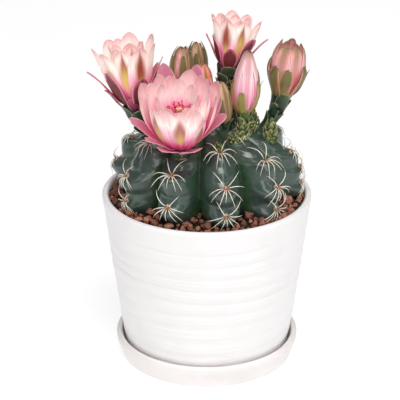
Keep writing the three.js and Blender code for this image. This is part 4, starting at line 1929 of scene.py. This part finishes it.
def front_flower() -> Flower:
    """The wide flower at the front, seen into from above.

    Returns:
        The flower, not built yet.
    """
    draw = np.random.default_rng(SEED + 11)
    inner = Petal(0, (10.0, 29.4), 11.4, (24, -4), BROAD, 80, (2.4, 0.4))
    middle = Petal(0, (14.4, 30.0), 13.0, (42, -4), BROAD, 72, (3.2, -0.2))
    outer = replace(middle, foot=(3.9, -0.5), lean=(54, -2), width=13.4)
    return Flower(
        name="front",
        areole=(-12.2, -26.4, 113.0),
        receptacle=(-12.6, -27.0, 124.2),
        mouth=(-13.8, -33.0, 152.0),
        tube_radius=3.6,
        neck_radius=5.2,
        cup=[
            *whorl(7, 26, replace(inner, tone=0.2), draw, 1.6),
            middle.at(-25, (14.2, 29.0), tone=0.1),
            middle.at(38, (12.6, 29.0), tone=0.2),
            inner.at(-60, (11.0, 31.0), width=10.0),
            middle.at(66, (13.6, 30.0), tone=0.3),
            middle.at(-84, (14.4, 30.2), tone=0.6),
            middle.at(94, (15.2, 30.2), tone=0.5),
            middle.at(-117, (14.9, 31.2), tone=0.5),
            middle.at(122, (16.4, 31.2), tone=0.7),
            middle.at(-168, (13.6, 31.0), width=11.5, sway=1.0),
            outer.at(2, (13.6, 27.4), width=12.6, tone=0.62),
            outer.at(-46, (15.0, 27.6), width=11.0, tone=0.46, sway=-1.0),
            outer.at(34, (14.4, 26.4), width=11.0, tone=0.25),
            outer.at(-147, (17.6, 31.0), width=12.0, tone=0.8),
            outer.at(162, (18.8, 31.2), width=13.6, tone=0.62),
            outer.at(140, (17.6, 30.4), width=11.0, tone=0.9),
            outer.at(-125, (21.4, 28.2), width=12.0, tone=0.75),
            outer.at(121, (21.6, 28.2), width=11.0, tone=1.0),
            outer.at(-92, (18.4, 27.8), width=11.0, tone=0.7),
            outer.at(88, (18.2, 27.0), width=11.0, tone=0.8),
            Petal(50, (15.2, 20.0), 11.0, (60, 14), OVATE, 60, (4.0, -0.6), tone=1.0),
        ],
        sepals=[
            Petal(-88, (24.0, 16.5), 9.0, (62, 48), BLUNT, 44),
            Petal(-56, (19.5, 11.2), 9.4, (66, 54), ROUND, 48),
            Petal(-30, (18.0, 7.4), 9.6, (76, 66), ROUND, 40, (4.2, -0.8)),
            Petal(24, (18.4, 7.2), 11.0, (80, 60), BLUNT, 40, (4.2, -0.8)),
            Petal(90, (22.4, 16.0), 9.6, (60, 50), BLUNT, 44),
            Petal(110, (21.6, 19.6), 9.0, (60, 36), ROUND, 44),
            Petal(140, (23.0, 25.0), 10.0, (58, 14), ROUND, 50),
            Petal(156, (22.6, 32.0), 9.6, (52, 8), BROAD, 50),
            Petal(-164, (21.2, 34.0), 10.4, (50, 6), BROAD, 50, sway=1.2),
            Petal(-144, (22.5, 25.0), 9.4, (58, 14), OVATE, 50),
        ],
        cup_finish=CUP_PETAL,
        sepal_finish=BRIGHT_SEPAL,
        scales=6,
        filaments=170,
    )


def left_flower() -> Flower:
    """The tall cup on the left, seen from outside.

    Returns:
        The flower, not built yet.
    """
    draw = np.random.default_rng(SEED + 12)
    inner = Petal(0, (8.6, 30.4), 10.5, (14, 0), BROAD, 84, (2.2, 0.6))
    outer = Petal(0, (14.0, 29.6), 12.4, (36, 12), BROAD, 66, (3.6, -0.4))
    return Flower(
        name="left",
        areole=(-26.5, 3.6, 117.0),
        receptacle=(-35.8, 0.0, 134.8),
        mouth=(-39.8, 3.0, 165.3),
        tube_radius=3.4,
        neck_radius=5.4,
        cup=[
            *whorl(7, 20, inner, draw, -1.0),
            outer.at(-9, (11.0, 29.8), foot=(3.2, -0.4), width=12.6, tone=0.5, ruffle=0.2),
            outer.at(35, (13.0, 30.0), foot=(4.1, -0.4), width=13.6, tone=0.8, ruffle=0.2),
            outer.at(-52, (14.0, 28.8), tone=0.34, sway=-0.8),
            outer.at(78, (14.4, 29.6), width=11.5, tone=0.3),
            outer.at(-96, (16.8, 29.8), lean=(36, 16), width=11.0, tone=0.9),
            outer.at(127, (16.4, 31.6), lean=(34, 14), width=10.0, tone=0.6),
            outer.at(-142, (15.4, 30.8), form=BLUNT, width=11.0),
            outer.at(-164, (12.4, 31.0), width=11.0, sway=1.2),
            outer.at(172, (11.8, 33.4), width=12.4, tone=0.7),
        ],
        sepals=[
            Petal(-92, (20.6, 18.8), 4.2, (56, 52), POINTED, 40),
            Petal(-50, (14.0, 19.4), 9.6, (50, 18), ROUND, 72),
            Petal(-74, (13.6, 9.6), 7.6, (62, 50), OVATE, 60, (4.4, -1.2)),
            Petal(32, (12.0, 14.6), 10.2, (48, 10), ROUND, 78, (4.2, -0.6)),
            Petal(6, (7.6, 4.8), 7.6, (34, 30), ROUND, 80, (4.7, -2.0)),
            Petal(84, (17.4, 22.5), 7.8, (48, 28), OVATE, 56),
            Petal(112, (15.4, 18.0), 8.6, (52, 30), ROUND, 60),
            Petal(150, (17.0, 17.6), 9.0, (56, 34), ROUND, 60),
            Petal(-170, (16.2, 20.4), 9.0, (54, 26), ROUND, 60),
            Petal(-132, (17.4, 17.4), 9.0, (56, 34), ROUND, 60),
        ],
        cup_finish=PALE_CUP_PETAL,
        sepal_finish=MAROON_SEPAL,
        brush=(5.6, 19.5),
        filaments=80,
    )


def tall_flower() -> Flower:
    """The highest flower, a narrower cup behind the crown.

    Returns:
        The flower, not built yet.
    """
    draw = np.random.default_rng(SEED + 13)
    inner = Petal(0, (6.9, 24.6), 8.8, (12, 2), BROAD, 86, (2.2, 0.6))
    outer = Petal(0, (11.2, 24.0), 10.4, (30, 14), BROAD, 68, (3.6, -0.4))
    return Flower(
        name="tall",
        areole=(11.8, 7.0, 118.0),
        receptacle=(10.8, 8.0, 151.2),
        mouth=(14.5, 11.0, 175.9),
        tube_radius=3.8,
        neck_radius=5.6,
        cup=[
            *whorl(6, 10, inner, draw, -0.4),
            outer.at(-24, (11.8, 25.2), foot=(4.1, -0.4), width=11.0, tone=0.8, ruffle=0.2),
            outer.at(22, (10.6, 25.0), foot=(3.2, -0.4), width=10.6, tone=0.5, ruffle=0.2),
            outer.at(-66, (12.0, 23.6), width=9.0, tone=0.3),
            outer.at(68, (12.4, 23.0), width=9.6, tone=0.35),
            outer.at(-104, (12.4, 24.2), lean=(30, 20), width=8.6, tone=0.38),
            outer.at(107, (13.0, 24.0), lean=(30, 20), width=8.6, tone=0.95),
            outer.at(153, (13.4, 24.8), width=9.0),
            outer.at(-170, (11.2, 26.0), width=11.0, tone=0.6),
            outer.at(-140, (12.2, 24.0)),
        ],
        sepals=[
            Petal(-96, (13.6, 14.6), 5.4, (44, 34), POINTED, 50),
            Petal(-68, (11.6, 15.6), 6.2, (42, 28), OVATE, 56),
            Petal(-6, (8.8, 10.8), 7.8, (36, 6), ROUND, 80, (4.6, -1.0)),
            Petal(52, (11.6, 16.6), 8.4, (44, 20), ROUND, 70),
            Petal(98, (17.2, 15.8), 4.2, (54, 50), POINTED, 40),
            Petal(128, (13.6, 14.0), 7.6, (48, 34), ROUND, 60),
            Petal(168, (12.6, 15.4), 8.0, (44, 28), ROUND, 60),
            Petal(-140, (13.4, 14.4), 7.8, (48, 32), ROUND, 60),
        ],
        cup_finish=PALE_CUP_PETAL,
        sepal_finish=MAROON_SEPAL,
        scales=22,
        brush=(4.6, 15.5),
        filaments=70,
    )


# -------- buds
@dataclass
class Bud:
    """A closed bud on its tube: petals wound round each other, with sepals over them."""

    name: str
    areole: Point
    base: Point
    tip: Point
    tube: float
    radius: float
    petal_finish: Finish = BUD_PETAL
    sepal_finish: Finish = OLIVE_SEPAL
    tube_finish: Finish = DARK_SCALE
    petals: int = 8
    sepals: int = 6
    sepal_reach: Pair = (0.45, 0.8)  # shares of the bud's height that sepals end between
    first_sepal: float = 0.0
    loose: float = 0.6
    spread: tuple[float, ...] = ()  # azimuths of the pointed sepals that stand away from it
    scales: int = 9
    flare: float = 0.6
    belly: float = 0.55  # where it is widest, as a share of its height
    top: float = 0.35  # how wide its top is, as a share of its widest
    cone: float = 0.0  # how much steeper its petals leave its foot, which makes it more of a cone

    def _outline(self, share: float) -> float:
        """The bud's radius at a share of its height.

        Args:
            share: the share, 0 at its base and 1 at its tip.

        Returns:
            The radius.
        """
        foot, top = self.tube + self.flare, self.radius * self.top
        if share < self.belly:
            return foot + (self.radius - foot) * math.sin(share / self.belly * math.pi / 2)
        fall = (share - self.belly) / (1 - self.belly)
        return top + (self.radius - top) * math.cos(fall * math.pi / 2) ** 0.8

    def _closed(self, azimuth: float, share: float, swell: float, width: float, gather: float = 1.0) -> Petal:
        """A petal that lies on the bud from its foot up to a share of its height.

        Args:
            azimuth: where it stands.
            share: how high it reaches, as a share of the bud's height.
            swell: how far outside the bud's outline it lies.
            width: its width.
            gather: how far from the bud's axis its tip is, as a share of the outline there.

        Returns:
            The petal.
        """
        foot = (self.tube + self.flare * 0.85 - 0.4 + swell * 0.3, -1.0)
        tip = (self._outline(share) * gather + swell, math.dist(self.base, self.tip) * share)
        bulge = self._outline(min(share, self.belly)) + swell
        reach = HANDLE * math.dist(foot, tip)
        push = float(np.clip((8 * bulge - 4 * (foot[0] + tip[0])) / 6 / reach, -0.95, 0.95))
        lean = math.degrees(math.asin(push))
        lean_pair = (lean + self.cone, self.cone - lean - 12)
        arc = math.degrees(width / self.radius) * 0.95
        return Petal(azimuth, tip, width, lean_pair, OVATE, arc, foot, wall=0.4, widest=0.5, narrow=0.5,
                     ruffle=0.12, rows=18, columns=9)

    def build(self) -> None:
        """Makes the bud in the place of its nodes."""
        draw = np.random.default_rng(SEED + 300 + len(self.name) + int(self.radius * 10))
        axis = np.subtract(self.tip, self.base)
        seat = Seat.facing(self.base, axis)
        tube = Tube(f"{self.name}_bud", self.areole, self.base, unit(axis), self.tube, self.tube + self.flare,
                    self.scales, self.tube_finish)
        tube.build(f"{self.name}_bud_tube")
        petals, sepals = Shell(f"{self.name}_bud_petals"), Shell(f"{self.name}_bud_sepals")
        width = FULL_TURN * self.radius / self.petals * 1.65
        for index in range(self.petals):
            inner = index % 2
            azimuth = self.first_sepal + 20 + 360 / self.petals * index + draw.uniform(-5, 5)
            share = draw.uniform(0.94, 1.0) - 0.05 * inner
            petal = self._closed(azimuth, share, -0.4 - 0.6 * inner, width, 0.96 - 0.12 * inner)
            tone = (1 - inner) * draw.uniform(0.75, 1.0)
            replace(petal, form=BLUNT, widest=0.66, ruffle=0.3, tone=tone).add_to(petals, seat, draw)
        low, high = self.sepal_reach
        for index in range(self.sepals):
            share = low + (high - low) * (index % 3) / 2
            azimuth = self.first_sepal + 360 / self.sepals * index + draw.uniform(-8, 8)
            petal = self._closed(azimuth, share, 0.1 + self.loose * draw.uniform(0, 1), self.radius * 0.9)
            tone = draw.uniform(0.45, 1.0)
            replace(petal, form=BLUNT, narrow=0.8, tone=tone).add_to(sepals, seat, draw)
        for azimuth in self.spread:
            petal = self._closed(azimuth, 0.52, self.loose, self.radius * 0.55)
            away = (self.radius * 1.45, petal.tip[1])
            replace(petal, tip=away, lean=(50, 26), form=POINTED, tone=0.9).add_to(sepals, seat, draw)
        petals.make(self.petal_finish, "bud", f"{self.name}_bud")
        sepals.make(self.sepal_finish, "bud")


BUDS = (
    Bud("right", (27.6, 13.4, 115), (37.2, 13, 136), (41.9, 13, 162.4), 3.2, 7.9, scales=10, sepals=7,
        sepal_reach=(0.56, 0.66), first_sepal=4, belly=0.48, top=0.8, flare=2.2, petals=14, loose=0.9,
        spread=(96,)),
    Bud("middle", (18.2, -4, 118), (17.9, -6, 134), (19.8, -6, 164.8), 2.8, 5.7, sepal_reach=(0.36, 0.7),
        sepals=5, first_sepal=-10, petals=12, petal_finish=PALE_BUD_PETAL, sepal_finish=GREEN_SEPAL,
        tube_finish=YOUNG_SCALE, belly=0.3, top=0.3, cone=11, loose=1.1, spread=(86, -82)),
    Bud("back_left", (-11.6, 11, 118), (-12.8, 12, 138), (-12, 12, 160.6), 2.6, 5.0, sepal_reach=(0.84, 1.0),
        sepals=7),
    Bud("back_right", (-4.2, 18.6, 117), (-4.9, 20, 136), (-5, 20, 160.4), 2.6, 4.4, petal_finish=CREAM_SEPAL,
        sepals=7, sepal_reach=(0.8, 1.0)),
    Bud("crown", (-1.2, 2.4, 117), (-1.6, 3, 134), (-2, 3, 155), 2.4, 4.0, petal_finish=SALMON_SEPAL,
        sepal_finish=SALMON_SEPAL, sepal_reach=(0.6, 0.9)),
    Bud("inner", (8.2, -4.4, 118), (9, -5, 128.4), (6.6, -5, 148.4), 2.4, 3.8, petal_finish=CREAM_SEPAL,
        sepals=5, sepal_reach=(0.6, 0.95), scales=5),
)


@dataclass
class YoungBud:
    """Tight green buds that have only just broken from an areole: a head of small scales and its sprouts."""

    name: str
    base: Point
    height: float
    radius: float
    lean: Pair = (0.0, 0.0)  # along X and Y, for each step up
    scales: int = 24
    sprouts: int = 3
    root: float = 4.0  # how far it reaches down into the skin
    nodes: tuple[str, ...] = ()

    def build(self) -> None:
        """Makes the bud and its smaller sprouts, in the place of its node if it has one."""
        draw = np.random.default_rng(SEED + 400 + sum(map(ord, self.name)))
        shell = Shell(self.name)
        self._add_cone(shell, Seat.facing(self.base, (*self.lean, 1.0)), 1.0, draw)
        for index in range(self.sprouts):
            azimuth = (index + draw.uniform(-0.3, 0.3)) / self.sprouts * FULL_TURN
            beside = around(1.0, azimuth, 0.0)
            base = np.asarray(self.base) + beside * self.radius * 0.85
            lean = np.array([*self.lean, 1.0]) + beside * draw.uniform(0.15, 0.35)
            self._add_cone(shell, Seat.facing(base, lean), draw.uniform(0.5, 0.75), draw)
        shell.make(YOUNG_SCALE, "young_bud", *self.nodes)

    def _add_cone(self, shell: Shell, seat: Seat, size: float, draw: Draw) -> None:
        """Adds one head of scales.

        Args:
            shell: the piece.
            seat: the head's frame.
            size: how large it is, as a share of the bud's main head.
            draw: where its differences come from.
        """
        height, radius = self.height * size, self.radius * size**0.6
        share, sides = np.linspace(0, 1, 12), 16
        heights = -self.root + (height * 0.9 + self.root) * share
        core = np.stack([np.zeros_like(share), np.zeros_like(share), heights], axis=1)
        radii = radius * 0.8 * np.sqrt(np.clip(1 - share**3, 0.01, 1))
        told = {Field.ALONG: 0.2, Field.ACROSS: 0.0, Field.BACK: 1.0, Field.SEED: 0.5}
        shell.loft(seat.place(round_tube(core, radii, sides)), told)
        for index in range(self.scales):
            level = (index + draw.uniform(0.1, 0.9)) / self.scales
            girth = radius * math.sqrt(1 - level**2.4 * 0.9)
            length = height * (0.4 - 0.12 * level) * draw.uniform(0.8, 1.2)
            azimuth = index * GOLDEN_TURN + draw.uniform(-22, 22)
            middle = height * level * 0.86
            tip = (girth * draw.uniform(0.95, 1.2), middle + length * 0.6)
            width = radius * draw.uniform(0.9, 1.15) * (1 - 0.3 * level)
            lean = (44, draw.uniform(-30, 10) - 30 * level)
            scale = Petal(azimuth, tip, width, lean, ROUND, 76, (girth * 0.72, middle - length * 0.4),
                          wall=0.45, widest=0.45, narrow=0.7, ruffle=0.15, rows=9, columns=7)
            scale.add_to(shell, seat, draw)


YOUNG_BUDS = (
    YoungBud("young_bud_0", (17.2, -11.4, 120.6), 10.0, 3.1, (-0.05, 0.0), 18, 2, nodes=("green_bud_0",)),
    YoungBud("young_bud_1", (30.4, -4.0, 117.6), 11.0, 3.1, (0.1, 0.0), 18, 2, nodes=("green_bud_1",)),
    YoungBud("young_bud_2", (4.9, -23.5, 118.0), 7.0, 2.1, (0.1, -0.3), 14, 1, nodes=("green_bud_2",)),
    YoungBud("young_bud_3", (12.8, -15.0, 119.4), 7.0, 2.3, (-0.15, -0.2), 14, 1, nodes=("green_bud_3",)),
    YoungBud("young_bud_4", (22.6, 0.5, 120.5), 11.5, 3.0, (0.0, -0.05), 18, 1),
    YoungBud("young_bud_6", (20.4, 15.6, 120.0), 8.0, 2.6, (0.2, 0.3), 16, 2),
    YoungBud("young_bud_7", (-14.6, 21.8, 119.6), 7.5, 2.5, (-0.2, 0.3), 16, 2),
)


# -------- studio
@dataclass
class Studio:
    """The floor, the lights and the camera."""

    aim: Point = (-3.45, 0.0, 83.5)
    distance: float = 1000.0
    elevation: float = 23.7
    lens: float = 180.0
    floor_size: float = 12000.0
    ambient: float = 0.2

    def build(self) -> None:
        """Sets the studio up."""
        self._lay_floor()
        self._light_world()
        self._hang_light("key_softbox", (380, -1500, 700), (450, 1100), 4.8)
        self._hang_light("top_softbox", (60, -700, 1450), (900, 900), 16.0)
        self._hang_light("left_softbox", (-1000, -800, 500), (160, 1300), 1.4)
        self._hang_light("right_softbox", (1100, -500, 900), (260, 1100), 2.0)
        self._hang_light("back_softbox", (0, 1200, 1100), (900, 900), 3.0)
        self._set_camera()
        bpy.context.scene.view_settings.view_transform = "Standard"

    def _lay_floor(self) -> None:
        """Lays a plain pale floor that reaches past every view."""
        half = self.floor_size * MM / 2
        mesh = bpy.data.meshes.new("floor")
        corners = [(-half, -half, 0), (half, -half, 0), (half, half, 0), (-half, half, 0)]
        mesh.from_pydata(corners, [], [(0, 1, 2, 3)])
        mesh.materials.append(Paper("floor_paper").material())
        floor = bpy.data.objects.new("floor", mesh)
        bpy.context.collection.objects.link(floor)

    def _light_world(self) -> None:
        """Fills the room with even white light."""
        world = bpy.data.worlds.new("studio")
        world.use_nodes = True
        background = next(node for node in world.node_tree.nodes if node.type == "BACKGROUND")
        background.inputs["Color"].default_value = (1.0, 1.0, 1.0, 1.0)
        background.inputs["Strength"].default_value = self.ambient
        bpy.context.scene.world = world

    def _hang_light(self, name: str, place: Point, size: Pair, power: float) -> None:
        """Hangs a softbox that faces the plant.

        Args:
            name: the light's name.
            place: where its middle is.
            size: its width and its height.
            power: in watts.
        """
        lamp = bpy.data.lights.new(name, "AREA")
        lamp.shape = "RECTANGLE"
        lamp.size, lamp.size_y = (side * MM for side in size)
        lamp.energy = power
        holder = bpy.data.objects.new(name, lamp)
        holder.location = Vector(place) * MM
        holder.rotation_euler = (Vector(self.aim) - Vector(place)).to_track_quat("-Z", "Y").to_euler()
        bpy.context.collection.objects.link(holder)

    def _set_camera(self) -> None:
        """Stands the camera where the photograph was taken from."""
        rise = math.radians(self.elevation)
        back = Vector((0, -math.cos(rise), math.sin(rise)))
        lens = bpy.data.cameras.new("camera")
        lens.lens = self.lens
        camera = bpy.data.objects.new("camera", lens)
        camera.location = (Vector(self.aim) + back * self.distance) * MM
        camera.rotation_euler = (-back).to_track_quat("-Z", "Y").to_euler()
        bpy.context.collection.objects.link(camera)
        bpy.context.scene.camera = camera


def main() -> None:
    """Builds the plant, its pot and the studio, and reports each piece."""
    logging.basicConfig(level=logging.INFO, format="%(name)s: %(message)s")
    LOG.info("frame of %d nodes", len(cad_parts))
    Saucer().build()
    pot = Pot()
    pot.build()
    body = CactusBody()
    body.build()
    bed = Bed(pot, body)
    bed.build_soil()
    bed.build_gravel()
    Areoles(body, pot).build()
    for flower in (front_flower(), left_flower(), tall_flower()):
        flower.build()
    for bud in (*BUDS, *YOUNG_BUDS):
        bud.build()
    Studio().build()


if __name__ == "__main__":
    main()
